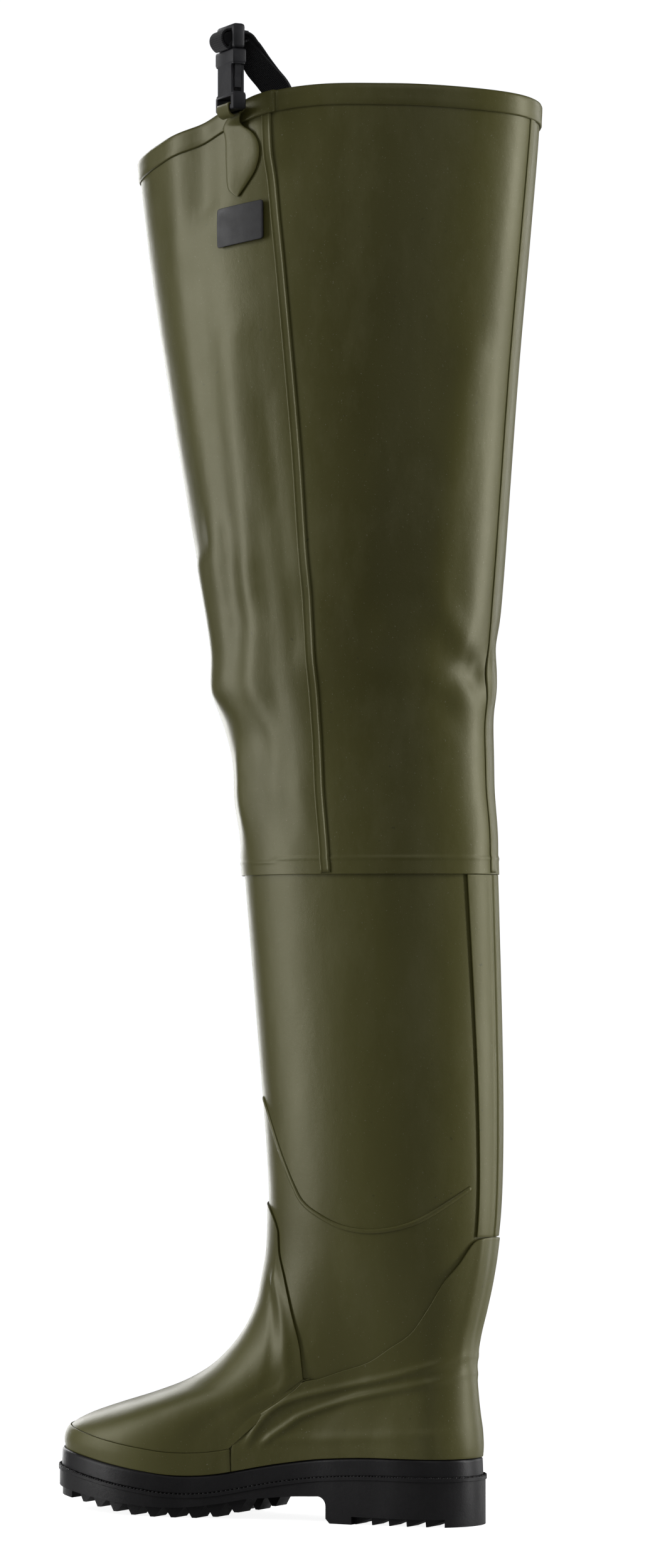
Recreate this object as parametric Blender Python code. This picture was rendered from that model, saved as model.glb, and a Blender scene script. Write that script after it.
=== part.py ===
"""A left hip wader: a rubber boot, a thigh leg joined below the knee, and a collar with strap and buckle.

Metres, +Z up. The toe points to +X and the outer side of the leg to +Y. The origin lies on the
floor, under the centre of the heel's round back, so the boot stands on the plane z = 0.
"""
import math
from collections import namedtuple

import bmesh
import bpy
from mathutils import Matrix, Vector

MM = 0.001

# Sole
SOLE_LENGTH = 310 * MM        # heel to toe along the lip of the outsole
BALL_WIDTH = 105 * MM         # lip of the outsole across the ball of the foot
HEEL_WIDTH = 73 * MM          # lip of the outsole across the heel
TOE_SWING = 8 * MM            # how far the toe turns to the inner side
LIP_HEIGHT = 31 * MM          # top of the lip above the floor, at the heel
LIP_THICKNESS = 4 * MM
LIP_PROUD = 1.2 * MM          # lip beyond the side wall of the outsole
HEEL_LENGTH = 94 * MM         # back of the heel to its breast
LUG_INSET = 6 * MM            # ends of the lugs behind the side wall
FORE_LUG_PITCH = 14 * MM
FORE_LUG_TIP = 3 * MM         # flat end of each lug
FORE_LUG_START = 0.485        # share of the sole's length where the first lug begins
FORE_LUGS = 9
HEEL_LUG_PITCH = 12.4 * MM
HEEL_LUG_DEPTH = 5 * MM
HEEL_LUGS = 5
HEEL_PAD_RADIUS = 10 * MM     # flat disc among the lugs, under the middle of the heel
FOXING_HEIGHT = 11.5 * MM     # black band between the lip and the upper
FOXING_INSET = 2.2 * MM       # its face behind the lip
INSOLE_THICKNESS = 3 * MM
INSOLE_CLEARANCE = 1 * MM     # between the insole's edge and the inside of the upper

# Upper
ANKLE_HEIGHT = 174 * MM       # narrowest girth over the instep, above the floor
SHANK_LENGTH = 175 * MM       # front to back at the top of the rubber boot
SHANK_WIDTH = 109 * MM
BOOT_HEIGHT = 427 * MM        # top edge of the rubber boot
BOOT_WALL = 2.4 * MM
VAMP_THICKNESS = 1.0 * MM     # patch over the forefoot and the instep
COUNTER_THICKNESS = 1.3 * MM  # patch round the heel and the waist
RIB_WIDTH = 6 * MM            # raised ribs of the heel patch
RIB_RELIEF = 0.9 * MM
GUARD_HEIGHT = 15 * MM        # band round the toe, above the foxing
GUARD_THICKNESS = 1.7 * MM
GUARD_LENGTH = 149 * MM       # from the tip of the toe back to the band's end
STAY_WIDTH = 42 * MM          # double strip up the back of the shank, at its top
STAY_FOOT_WIDTH = 30 * MM     # and at its lower end
STAY_GROOVE = 2.4 * MM        # groove between its two halves
STAY_THICKNESS = 1.1 * MM
PIPING_WIDTH = 3.4 * MM
PIPING_RELIEF = 0.9 * MM

# Thigh leg
HEM_LAP = 12 * MM             # how far the thigh leg covers the top of the boot
THIGH_WALL = 1.4 * MM
COLLAR_HEIGHT = 917 * MM      # rim at the outer side, above the floor
COLLAR_LENGTH = 284 * MM      # front to back at the rim
COLLAR_WIDTH = 153 * MM
BINDING_HEIGHT = 12.5 * MM
BINDING_THICKNESS = 1.1 * MM
SIDE_SEAM_WIDTH = 8 * MM
REAR_SEAM_WIDTH = 7 * MM
SEAM_RELIEF = 0.8 * MM

# Strap and badge
TAB_TURN = 74.0               # where the tab stands round the collar, in degrees
TAB_LENGTH = 57 * MM          # leaf on the outside, from the rim down
TAB_WIDTH = 21 * MM
TAB_THICKNESS = 1.3 * MM
LOOP_WIDTH = 18 * MM
WEBBING_WIDTH = 19 * MM
STRAP_TURN = 90.0             # where the strap is fixed inside the collar, in degrees
WEBBING_THICKNESS = 1.5 * MM  # one layer; the strap is doubled
STRAP_TAIL = 26 * MM          # how far it reaches down inside the collar
BUCKLE_TURN = 37.0            # its face looks this far from the outer side to the front
BUCKLE_PLACE = 78.5           # where it stands round the collar, in degrees
BUCKLE_DROP = 4 * MM          # its foot below the rim
FEMALE_LENGTH = 39 * MM
MALE_LENGTH = 16 * MM         # frame of the male half that stands out of the female half
BUCKLE_WIDTH = 28 * MM
BUCKLE_DEPTH = 9 * MM
BUCKLE_BAR = 3.2 * MM         # bar at the foot of the female half, which the tab holds
BUCKLE_EDGE = 1.6 * MM        # rounding of both halves
BUCKLE_SHELL = 1.7 * MM       # wall of the female half, front and back
WEBBING_SLOT = 5.5 * MM       # slot over the bar
WINDOW_FOOT = 14 * MM         # lower end of the side windows above the female half's foot
WINDOW_HEIGHT = 14 * MM
WINDOW_DEPTH = 3.5 * MM
MALE_BAR = 4 * MM             # cross bars of the male half's frame
ARM_WIDTH = 3.4 * MM          # springy arms that show in the windows
GUIDE_WIDTH = 5 * MM          # tongue between them
BADGE_TURN = 72.7
BADGE_DROP = 72 * MM          # rim to the middle of the badge
BADGE_WIDTH = 36 * MM
BADGE_HEIGHT = 25 * MM
BADGE_THICKNESS = 1.2 * MM
BADGE_LEAN = 4 * MM           # how much lower its front corner lies
FRONT_LEAN = 0.16             # slant of the leg's front, which the leaf and the badge follow

GAP = 0.3 * MM                # air between one piece and the next

BOOT_COLUMNS = 36             # points round the boot, the thigh leg and the sole
THIGH_COLUMNS = 36
OUTLINE_POINTS = 44

# Half widths of the sole's lip, as shares of the half width of the heel or the ball
OutlineRow = namedtuple("OutlineRow", "along outer inner")
OUTLINE = (
    OutlineRow(0.00, 2.00, 2.00),
    OutlineRow(0.065, 1.78, 1.78),
    OutlineRow(0.124, 1.52, 1.51),
    OutlineRow(0.196, 1.27, 1.24),
    OutlineRow(0.31, 1.08, 0.95),
    OutlineRow(0.41, 0.95, 0.74),
    OutlineRow(0.51, 0.90, 0.65),
    OutlineRow(0.605, 0.99, 0.76),
    OutlineRow(0.686, 1.16, 0.93),
    OutlineRow(0.768, 1.30, 1.07),
    OutlineRow(0.85, 1.41, 1.21),
    OutlineRow(0.915, 1.49, 1.27),
    OutlineRow(1.00, 1.60, 1.30),
)

# Side view of the sole, along its length: the lip's top, the lower edge of the side wall and
# the tips of the lugs, all as shares of the lip's height at the heel
SideRow = namedtuple("SideRow", "along lip wall lug")
SOLE_SIDE = (
    SideRow(0.00, 1.00, 0.55, 0.00),
    SideRow(0.20, 1.00, 0.55, 0.00),
    SideRow(0.32, 0.93, 0.54, 0.50),
    SideRow(0.41, 0.81, 0.50, 0.44),
    SideRow(0.46, 0.72, 0.42, 0.30),
    SideRow(0.51, 0.62, 0.31, 0.14),
    SideRow(0.56, 0.535, 0.22, 0.03),
    SideRow(0.61, 0.495, 0.16, 0.00),
    SideRow(0.66, 0.505, 0.14, 0.00),
    SideRow(0.71, 0.56, 0.16, 0.01),
    SideRow(0.76, 0.625, 0.20, 0.05),
    SideRow(0.81, 0.70, 0.25, 0.12),
    SideRow(0.86, 0.78, 0.31, 0.20),
    SideRow(0.92, 0.86, 0.38, 0.28),
    SideRow(1.00, 0.94, 0.45, 0.30),
)

# Level cuts through the foot of the upper. Height runs from the feather edge to the ankle,
# back and front are shares of the sole's length, width of the ball's width, and flare says
# how far the cut keeps the outline of the sole
FootRow = namedtuple("FootRow", "height back front width flare")
FOOT = (
    FootRow(0.000, 0.012, 0.978, 0.900, 1.00),
    FootRow(0.050, 0.011, 0.979, 0.915, 1.00),
    FootRow(0.100, 0.012, 0.963, 0.908, 1.00),
    FootRow(0.150, 0.014, 0.920, 0.880, 0.96),
    FootRow(0.205, 0.017, 0.850, 0.845, 0.88),
    FootRow(0.267, 0.020, 0.760, 0.810, 0.78),
    FootRow(0.327, 0.022, 0.686, 0.775, 0.67),
    FootRow(0.402, 0.024, 0.624, 0.755, 0.55),
    FootRow(0.492, 0.023, 0.578, 0.745, 0.42),
    FootRow(0.597, 0.016, 0.541, 0.750, 0.29),
    FootRow(0.716, 0.003, 0.514, 0.785, 0.17),
    FootRow(0.850, -0.010, 0.499, 0.840, 0.07),
)

# Level cuts through the shank, from the ankle to the top of the boot: middle and length as
# shares of the shank's length, width as a share of the shank's width
ShankRow = namedtuple("ShankRow", "height middle length width")
SHANK = (
    ShankRow(0.000, 0.204, 0.898, 0.870),
    ShankRow(0.110, 0.192, 0.905, 0.940),
    ShankRow(0.270, 0.194, 0.922, 0.984),
    ShankRow(0.500, 0.210, 0.950, 1.000),
    ShankRow(1.000, 0.254, 1.000, 1.000),
)

# Cuts through the thigh leg, from the hem to the rim: middle and length as shares of the
# collar's length, width as a share of the collar's width
ThighRow = namedtuple("ThighRow", "height middle length width")
THIGH = (
    ThighRow(0.000, 0.1600, 0.632, 0.737),
    ThighRow(0.024, 0.1615, 0.632, 0.737),
    ThighRow(0.082, 0.1687, 0.636, 0.758),
    ThighRow(0.155, 0.1720, 0.635, 0.785),
    ThighRow(0.206, 0.1850, 0.658, 0.810),
    ThighRow(0.250, 0.1930, 0.689, 0.832),
    ThighRow(0.310, 0.1905, 0.696, 0.856),
    ThighRow(0.412, 0.1990, 0.743, 0.895),
    ThighRow(0.496, 0.2075, 0.783, 0.921),
    ThighRow(0.660, 0.2212, 0.857, 0.967),
    ThighRow(0.830, 0.2310, 0.936, 0.993),
    ThighRow(0.950, 0.2350, 0.985, 1.000),
    ThighRow(1.000, 0.2365, 1.000, 1.000),
)

# How far the rim lies below its highest point, as shares of the collar's length
RimRow = namedtuple("RimRow", "turn drop")
RIM = (
    RimRow(0, 0.120),
    RimRow(30, 0.108),
    RimRow(60, 0.067),
    RimRow(75, 0.032),
    RimRow(95, 0.001),
    RimRow(120, 0.004),
    RimRow(150, 0.016),
    RimRow(180, 0.026),
    RimRow(225, 0.045),
    RimRow(270, 0.060),
    RimRow(315, 0.090),
    RimRow(360, 0.120),
)

# Soft dents (negative) and swells of the thigh leg: where round it in degrees, where up it
# as a share of its height, how wide and how tall, and how deep as a share of the collar's width
FoldRow = namedtuple("FoldRow", "turn height across tall depth")
FOLDS = (
    FoldRow(163, 0.262, 14, 0.030, -0.055),
    FoldRow(150, 0.310, 16, 0.035, 0.030),
    FoldRow(60, 0.230, 12, 0.110, -0.030),
    FoldRow(38, 0.250, 12, 0.180, 0.026),
    FoldRow(196, 0.300, 16, 0.030, -0.030),
    FoldRow(320, 0.215, 18, 0.045, -0.035),
    FoldRow(86, 0.985, 9, 0.070, 0.022),
    FoldRow(64, 0.985, 10, 0.080, -0.030),
)

# Lines on the boot in side view. On the foot, along is a share of the sole's length and
# height one of the ankle's height
LinePoint = namedtuple("LinePoint", "along height")
COUNTER_LINE = (
    LinePoint(-0.100, 1.056),
    LinePoint(-0.030, 1.056),
    LinePoint(-0.017, 1.052),
    LinePoint(-0.008, 1.038),
    LinePoint(0.014, 0.964),
    LinePoint(0.043, 0.891),
    LinePoint(0.074, 0.799),
    LinePoint(0.112, 0.707),
    LinePoint(0.156, 0.652),
    LinePoint(0.205, 0.597),
    LinePoint(0.268, 0.560),
    LinePoint(0.318, 0.530),
    LinePoint(0.355, 0.515),
    LinePoint(0.410, 0.447),
    LinePoint(0.463, 0.406),
    LinePoint(0.495, 0.340),
    LinePoint(0.521, 0.263),
)
UPPER_RIB = (
    LinePoint(-0.03, 0.660),
    LinePoint(0.069, 0.589),
    LinePoint(0.166, 0.540),
    LinePoint(0.263, 0.503),
    LinePoint(0.360, 0.462),
    LinePoint(0.408, 0.430),
    LinePoint(0.440, 0.385),
    LinePoint(0.484, 0.285),
)
LOWER_RIB = (
    LinePoint(-0.03, 0.590),
    LinePoint(0.069, 0.527),
    LinePoint(0.166, 0.490),
    LinePoint(0.263, 0.449),
    LinePoint(0.360, 0.391),
    LinePoint(0.432, 0.300),
)
VAMP_LINE = (
    LinePoint(0.352, 0.490),
    LinePoint(0.354, 0.570),
    LinePoint(0.359, 0.655),
    LinePoint(0.379, 0.785),
    LinePoint(0.397, 0.900),
    LinePoint(0.414, 0.992),
    LinePoint(0.418, 1.077),
    LinePoint(0.453, 1.155),
    LinePoint(0.500, 1.180),
    LinePoint(0.560, 1.190),
)

# The bead on the shank: along is a share of the shank's length, height one of the boot's height
PIPING_LINE = (
    LinePoint(-0.33, 0.545),
    LinePoint(-0.166, 0.482),
    LinePoint(-0.050, 0.452),
    LinePoint(0.088, 0.440),
    LinePoint(0.211, 0.445),
    LinePoint(0.311, 0.461),
    LinePoint(0.393, 0.482),
    LinePoint(0.440, 0.510),
    LinePoint(0.493, 0.548),
    LinePoint(0.598, 0.624),
    LinePoint(0.760, 0.690),
)

# The seam down the outer side: along is a share of the collar's length, height one of the
# thigh leg's height
SIDE_SEAM_LINE = (
    LinePoint(0.158, -0.02),
    LinePoint(0.172, 0.08),
    LinePoint(0.176, 0.18),
    LinePoint(0.182, 0.25),
    LinePoint(0.190, 0.34),
    LinePoint(0.198, 0.42),
    LinePoint(0.208, 0.54),
    LinePoint(0.222, 0.65),
    LinePoint(0.242, 0.78),
    LinePoint(0.256, 0.86),
    LinePoint(0.268, 0.95),
    LinePoint(0.270, 1.05),
)

# Half width of the leaf, from its neck at the rim to its tip, as shares of its length and width
LeafRow = namedtuple("LeafRow", "down front back")
LEAF = (
    LeafRow(0.00, 0.34, 0.36),
    LeafRow(0.18, 0.29, 0.42),
    LeafRow(0.29, 0.30, 0.80),
    LeafRow(0.42, 0.34, 0.97),
    LeafRow(0.56, 0.40, 0.94),
    LeafRow(0.72, 0.45, 0.68),
    LeafRow(0.86, 0.48, 0.30),
    LeafRow(0.93, 0.42, 0.10),
    LeafRow(1.00, 0.18, -0.10),
)


def smooth_value(stations, values, at):
    """A smooth curve through a table's column, level beyond its ends."""
    if at <= stations[0]:
        return values[0]
    if at >= stations[-1]:
        return values[-1]
    i = max(k for k in range(len(stations) - 1) if stations[k] <= at)

    def slope(k):
        low = max(k - 1, 0)
        high = min(k + 1, len(stations) - 1)
        return (values[high] - values[low]) / (stations[high] - stations[low])

    step = stations[i + 1] - stations[i]
    t = (at - stations[i]) / step
    start = (2 * t ** 3 - 3 * t ** 2 + 1) * values[i] + (t ** 3 - 2 * t ** 2 + t) * slope(i) * step
    end = (3 * t ** 2 - 2 * t ** 3) * values[i + 1] + (t ** 3 - t ** 2) * slope(i + 1) * step
    return start + end


def column(table, name):
    return [getattr(row, name) for row in table]


def ease(low, high, at):
    """Rises smoothly from 0 at low to 1 at high."""
    t = min(max((at - low) / (high - low), 0.0), 1.0)
    return t * t * (3 - 2 * t)


# Sole outline and its side view

def along(x):
    """Share of the sole's length at x."""
    return (x + HEEL_WIDTH / 2) / SOLE_LENGTH


def at_share(share):
    """The x of a share of the sole's length."""
    return share * SOLE_LENGTH - HEEL_WIDTH / 2


def fullness(share, outer_side):
    """Half width of the lip over that of the ball, before the rounding of both ends."""
    side = column(OUTLINE, "outer" if outer_side else "inner")
    heel = HEEL_WIDTH / BALL_WIDTH
    scale = heel + (1 - heel) * ease(0.31, 0.6, share)
    return scale * smooth_value(column(OUTLINE, "along"), side, share)


def swing(share):
    """How far the middle line of the sole lies to the inner side."""
    return -TOE_SWING * max(share, 0.0) ** 2


def outline_point(turn, inset=0.0):
    """A point of the lip's outline, moved in by inset. Turn 0 is the toe, 90 degrees outside."""
    def lip(angle):
        share = (1 + math.cos(angle)) / 2
        half = BALL_WIDTH / 2 * fullness(share, math.sin(angle) >= 0)
        return Vector((at_share(share), math.sin(angle) * half + swing(share)))

    ahead = lip(turn + 0.01) - lip(turn - 0.01)
    outwards = Vector((ahead.y, -ahead.x)).normalized()
    return lip(turn) - outwards * inset


def side_height(x, name):
    return LIP_HEIGHT * smooth_value(column(SOLE_SIDE, "along"), column(SOLE_SIDE, name), along(x))


def lip_top(x):
    return side_height(x, "lip")


def foxing_top(x):
    return lip_top(x) + FOXING_HEIGHT


def feather(x):
    """Height of the lower edge of the upper."""
    return foxing_top(x) + GAP


# Boot surface

Cut = namedtuple("Cut", "height back front half flare")


def boot_cuts():
    base = feather(0.0)
    cuts = []
    for row in FOOT:
        cuts.append(Cut(base + row.height * (ANKLE_HEIGHT - base), at_share(row.back),
                        at_share(row.front), row.width * BALL_WIDTH / 2, row.flare))
    for row in SHANK:
        middle = row.middle * SHANK_LENGTH
        reach = row.length * SHANK_LENGTH / 2
        cuts.append(Cut(ANKLE_HEIGHT + row.height * (BOOT_HEIGHT - ANKLE_HEIGHT), middle - reach,
                        middle + reach, row.width * SHANK_WIDTH / 2, 0.0))
    return cuts


def boot_point(cut, turn):
    share = (1 + math.cos(turn)) / 2
    x = cut.back + (cut.front - cut.back) * share
    full = 1 + cut.flare * (fullness(share, math.sin(turn) >= 0) - 1)
    rise = min((cut.height - feather(0.0)) / (ANKLE_HEIGHT - feather(0.0)), 1.0)
    y = math.sin(turn) * cut.half * full + swing(along(x)) * (1 - rise)
    dip = (feather(x) - feather(0.0)) * (1 - rise) ** 8
    return Vector((x, y, cut.height + dip))


def boot_grid():
    """Rings of points over the outside of the boot, from the feather edge up."""
    return [[boot_point(cut, 2 * math.pi * c / BOOT_COLUMNS) for c in range(BOOT_COLUMNS)]
            for cut in boot_cuts()]


# Thigh surface

def rim_height(turn):
    degrees = math.degrees(turn) % 360
    drop = smooth_value(column(RIM, "turn"), column(RIM, "drop"), degrees)
    return COLLAR_HEIGHT - drop * COLLAR_LENGTH


def fold(turn, height):
    """Depth of the soft folds at a place of the thigh leg."""
    total = 0.0
    for row in FOLDS:
        away = (math.degrees(turn) - row.turn + 180) % 360 - 180
        bell = math.exp(-(away / row.across) ** 2 - ((height - row.height) / row.tall) ** 2)
        total += row.depth * COLLAR_WIDTH * bell
    return total


def top_of_boot(z):
    """The boot's level cut at z, between its last two rings and no higher than its top."""
    low, high = boot_cuts()[-2:]
    t = (min(z, high.height) - low.height) / (high.height - low.height)
    return Cut(*(a + (b - a) * t for a, b in zip(low, high)))


def thigh_point(row, turn):
    bottom = BOOT_HEIGHT - HEM_LAP
    z = bottom + row.height * (rim_height(turn) - bottom)
    clear = top_of_boot(z)
    middle = row.middle * COLLAR_LENGTH
    reach = row.length * COLLAR_LENGTH / 2
    half = row.width * COLLAR_WIDTH / 2
    lap = 1 - ease(0.03, 0.12, row.height)
    lap_skin = THIGH_WALL + GAP * 1.3
    middle += lap * ((clear.front + clear.back) / 2 - middle)
    reach += lap * ((clear.front - clear.back) / 2 + lap_skin - reach)
    half += lap * (clear.half + lap_skin - half)
    push = fold(turn, row.height) * (1 - lap)
    return Vector((middle + (reach + push) * math.cos(turn), (half + push) * math.sin(turn), z))


def thigh_grid():
    return [[thigh_point(row, 2 * math.pi * c / THIGH_COLUMNS) for c in range(THIGH_COLUMNS)]
            for row in THIGH]


# Offsetting a grid and closing a wall

def grid_normals(grid):
    """Outward directions at each point of a grid of rings; level on the first and last ring."""
    rows = len(grid)
    count = len(grid[0])
    normals = []
    for r in range(rows):
        below = grid[max(r - 1, 0)]
        above = grid[min(r + 1, rows - 1)]
        ring = []
        for c in range(count):
            round_it = grid[r][(c + 1) % count] - grid[r][c - 1]
            normal = round_it.cross(above[c] - below[c])
            if r in (0, rows - 1):
                normal.z = 0.0
            ring.append(normal.normalized())
        normals.append(ring)
    return normals


def offset_grid(grid, distance):
    normals = grid_normals(grid)
    return [[p + n * distance for p, n in zip(ring, ring_normals)]
            for ring, ring_normals in zip(grid, normals)]


def skin_wall(outer, inner):
    """A closed wall between two grids of rings, open at its bottom and its top."""
    bm = bmesh.new()
    count = len(outer[0])
    skins = []
    for grid in (outer, inner):
        skins.append([[bm.verts.new(p) for p in ring] for ring in grid])
    for skin, outwards in zip(skins, (True, False)):
        for low, high in zip(skin, skin[1:]):
            for c in range(count):
                d = (c + 1) % count
                for corners in ((low[c], low[d], high[d]), (low[c], high[d], high[c])):
                    bm.faces.new(corners if outwards else corners[::-1])
    for c in range(count):
        d = (c + 1) % count
        bottom = (skins[0][0][d], skins[0][0][c], skins[1][0][c], skins[1][0][d])
        top = (skins[0][-1][c], skins[0][-1][d], skins[1][-1][d], skins[1][-1][c])
        bm.faces.new(bottom)
        bm.faces.new(top)
    return bm


# Blender objects

def empty_scene():
    for old in list(bpy.data.objects):
        bpy.data.objects.remove(old, do_unlink=True)
    for old in list(bpy.data.collections):
        bpy.data.collections.remove(old)


def collection(name):
    made = bpy.data.collections.new(name)
    bpy.context.scene.collection.children.link(made)
    return made


def material(name, colour, roughness, metallic=0.0):
    made = bpy.data.materials.new(name)
    made.use_nodes = True
    shader = made.node_tree.nodes["Principled BSDF"]
    shader.inputs["Base Color"].default_value = (*colour, 1.0)
    shader.inputs["Roughness"].default_value = roughness
    shader.inputs["Metallic"].default_value = metallic
    return made


def piece(name, bm, finish, group):
    """Turns a bmesh into a named object with its material."""
    mesh = bpy.data.meshes.new(name)
    bm.to_mesh(mesh)
    bm.free()
    made = bpy.data.objects.new(name, mesh)
    if finish:
        mesh.materials.append(finish)
    group.objects.link(made)
    return made


def cutter(name, bm, group):
    made = piece(name, bm, None, group)
    made.hide_render = True
    made.display_type = "WIRE"
    return made


def cut(target, tool, operation):
    modifier = target.modifiers.new(tool.name, "BOOLEAN")
    modifier.operation = operation
    modifier.solver = "EXACT"
    modifier.object = tool
    return target


def slab(points, low, high, axis="Z"):
    """A flat outline drawn out from low to high. With axis Y the points are (x, z)."""
    bm = bmesh.new()
    if axis == "Z":
        ring = [bm.verts.new((p[0], p[1], low)) for p in points]
        step = Vector((0, 0, high - low))
    elif axis == "Y":
        ring = [bm.verts.new((p[0], low, p[1])) for p in points]
        step = Vector((0, high - low, 0))
    else:
        ring = [bm.verts.new((low, p[0], p[1])) for p in points]
        step = Vector((high - low, 0, 0))
    face = bm.faces.new(ring)
    drawn = bmesh.ops.extrude_face_region(bm, geom=[face])
    moved = [v for v in drawn["geom"] if isinstance(v, bmesh.types.BMVert)]
    bmesh.ops.translate(bm, verts=moved, vec=step)
    bmesh.ops.recalc_face_normals(bm, faces=bm.faces)
    return bm


def outline_slab(inset, low, high):
    turns = [2 * math.pi * k / OUTLINE_POINTS for k in range(OUTLINE_POINTS)]
    return slab([outline_point(t, inset) for t in turns], low, high)


def stations(start, end, count):
    return [start + (end - start) * k / (count - 1) for k in range(count)]


def side_slab(lower, upper):
    """A slab across the whole sole between two side lines, each a list of (x, z)."""
    return slab(list(lower) + list(reversed(upper)), -BALL_WIDTH, BALL_WIDTH, "Y")


# Sole pieces

BEYOND = 5 * MM               # how far a cutter reaches past what it cuts
BACK = at_share(0.0) - BEYOND
FRONT = at_share(1.0) + BEYOND
BREAST = at_share(0.0) + HEEL_LENGTH


def lip_line(shift, count=19):
    return [(x, lip_top(x) + shift) for x in stations(BACK, FRONT, count)]


def heel_line():
    """Lower edge of the side wall: heel blocks on the floor, arch, forepart and toe."""
    cavity_front = BREAST - 19 * MM
    cavity_back = cavity_front - HEEL_LUGS * HEEL_LUG_PITCH
    line = [(BACK, 0.0), (cavity_back, 0.0), (cavity_back, HEEL_LUG_DEPTH),
            (cavity_front, HEEL_LUG_DEPTH), (cavity_front, 0.0), (BREAST - 3 * MM, 0.0),
            (BREAST, 3 * MM)]
    rounding = 6 * MM
    crown = side_height(BREAST, "wall")
    for k in range(5):
        angle = math.pi / 2 * k / 4
        line.append((BREAST + rounding * (1 - math.cos(angle)),
                     crown - rounding * (1 - math.sin(angle))))
    for x in stations(BREAST + 2 * rounding, FRONT, 16):
        line.append((x, side_height(x, "wall")))
    return line, cavity_back, cavity_front


def fore_lugs():
    """Sawtooth line under the forepart: each lug hangs from the side wall and has a flat tip."""
    root = 1.0 * MM
    half_tip = FORE_LUG_TIP / 2
    line = []
    for k in range(FORE_LUGS + 1):
        x = at_share(FORE_LUG_START) + k * FORE_LUG_PITCH
        tip = x + 0.55 * FORE_LUG_PITCH
        line.append((x, side_height(x, "wall") + root))
        if k < FORE_LUGS:
            low = max(side_height(tip, "lug"), 0.0)
            line.append((tip - half_tip, low))
            line.append((tip + half_tip, low))
    return line


def make_outsole(group, tools, finish):
    wall_line, cavity_back, cavity_front = heel_line()
    top = lip_line(0.0)
    middle = lip_line(-LIP_THICKNESS)
    body = piece("outsole", side_slab(wall_line, middle), finish, group)
    cut(body, cutter("outsole_wall_outline", outline_slab(LIP_PROUD, -BEYOND, 0.1), tools), "INTERSECT")

    lip = cutter("outsole_lip", side_slab(lip_line(-LIP_THICKNESS - 1 * MM), top), tools)
    cut(lip, cutter("outsole_lip_outline", outline_slab(0.0, -BEYOND, 0.1), tools), "INTERSECT")
    cut(body, lip, "UNION")

    roof = HEEL_LUG_DEPTH + 1 * MM
    heel_teeth = [(cavity_back - 1 * MM, 0.5 * MM)]
    for k in range(HEEL_LUGS):
        x = cavity_back + k * HEEL_LUG_PITCH
        heel_teeth.append((x, HEEL_LUG_DEPTH * 0.9))
        heel_teeth.append((x + 0.9 * HEEL_LUG_PITCH, 0.0))
        heel_teeth.append((x + 0.97 * HEEL_LUG_PITCH, 0.0))
    heel_teeth += [(cavity_front, HEEL_LUG_DEPTH * 0.9), (cavity_front + 1 * MM, roof)]
    heel_teeth.append((cavity_back - 1 * MM, roof))
    heel_block = cutter("heel_lugs", slab(heel_teeth, -BALL_WIDTH, BALL_WIDTH, "Y"), tools)
    cut(heel_block, cutter("heel_lug_outline", outline_slab(LUG_INSET, -BEYOND, 0.1), tools), "INTERSECT")
    cut(body, heel_block, "UNION")

    pad = bmesh.new()
    bmesh.ops.create_cone(pad, cap_ends=True, segments=24, radius1=HEEL_PAD_RADIUS, radius2=HEEL_PAD_RADIUS,
                          depth=roof, matrix=Matrix.Translation((0, 0, roof / 2)))
    cut(body, cutter("heel_pad", pad, tools), "UNION")

    teeth = fore_lugs()
    above = [(x, side_height(x, "wall") + 3 * MM) for x in stations(teeth[0][0], teeth[-1][0], 10)]
    tread = cutter("fore_lugs", side_slab(teeth, above), tools)
    cut(tread, cutter("fore_lug_outline", outline_slab(LUG_INSET, -BEYOND, 0.1), tools), "INTERSECT")
    cut(body, tread, "UNION")

    toe_start = teeth[-1][0] + 6 * MM
    toe = [(toe_start, side_height(toe_start, "lug")), (FRONT, side_height(FRONT, "lug")),
           (FRONT, side_height(FRONT, "wall") + 2 * MM),
           (toe_start, side_height(toe_start, "wall") + 2 * MM)]
    toe_lug = cutter("toe_lug", slab(toe, -BALL_WIDTH, BALL_WIDTH, "Y"), tools)
    outline = outline_slab(LIP_PROUD + 2 * MM, -BEYOND, 0.1)
    cut(toe_lug, cutter("toe_lug_outline", outline, tools), "INTERSECT")
    cut(body, toe_lug, "UNION")
    return body


def make_foxing(group, tools, finish):
    body = piece("foxing", side_slab(lip_line(GAP), lip_line(FOXING_HEIGHT)), finish, group)
    return cut(body, cutter("foxing_outline", outline_slab(FOXING_INSET, -BEYOND, 0.1), tools), "INTERSECT")


def make_insole(group, tools, finish, boot):
    low = lip_line(FOXING_HEIGHT + GAP)
    body = piece("insole", side_slab(low, lip_line(FOXING_HEIGHT + GAP + INSOLE_THICKNESS)), finish, group)
    inside = offset_grid(boot, -(BOOT_WALL + INSOLE_CLEARANCE))[0]
    return cut(body, cutter("insole_outline", slab(inside, -BEYOND, 0.1), tools), "INTERSECT")


# Pieces laid on the boot and the thigh leg

def overlay(name, grid, inside, outside, finish, group, low=0.0, high=1.0):
    """The form between two skins that follow a grid, before a cutter gives it its outline."""
    rows = [r for r, ring in enumerate(grid)
            if max(p.z for p in ring) > low and min(p.z for p in ring) < high]
    first = max(rows[0] - 1, 0)
    last = min(rows[-1] + 2, len(grid))
    outer = offset_grid(grid, outside)[first:last]
    inner = offset_grid(grid, inside)[first:last]
    return piece(name, skin_wall(outer, inner), finish, group)


def hidden(tool):
    tool.hide_render = True
    tool.display_type = "WIRE"
    return tool


def spread(line):
    """Lowest and highest point of a line of (x, z)."""
    return min(p[1] for p in line), max(p[1] for p in line)


def foot_line(table, lift=0.0):
    return [(at_share(p.along), p.height * ANKLE_HEIGHT + lift) for p in table]


def shank_line(table, lift=0.0):
    return [(p.along * SHANK_LENGTH, p.height * BOOT_HEIGHT + lift) for p in table]


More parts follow.
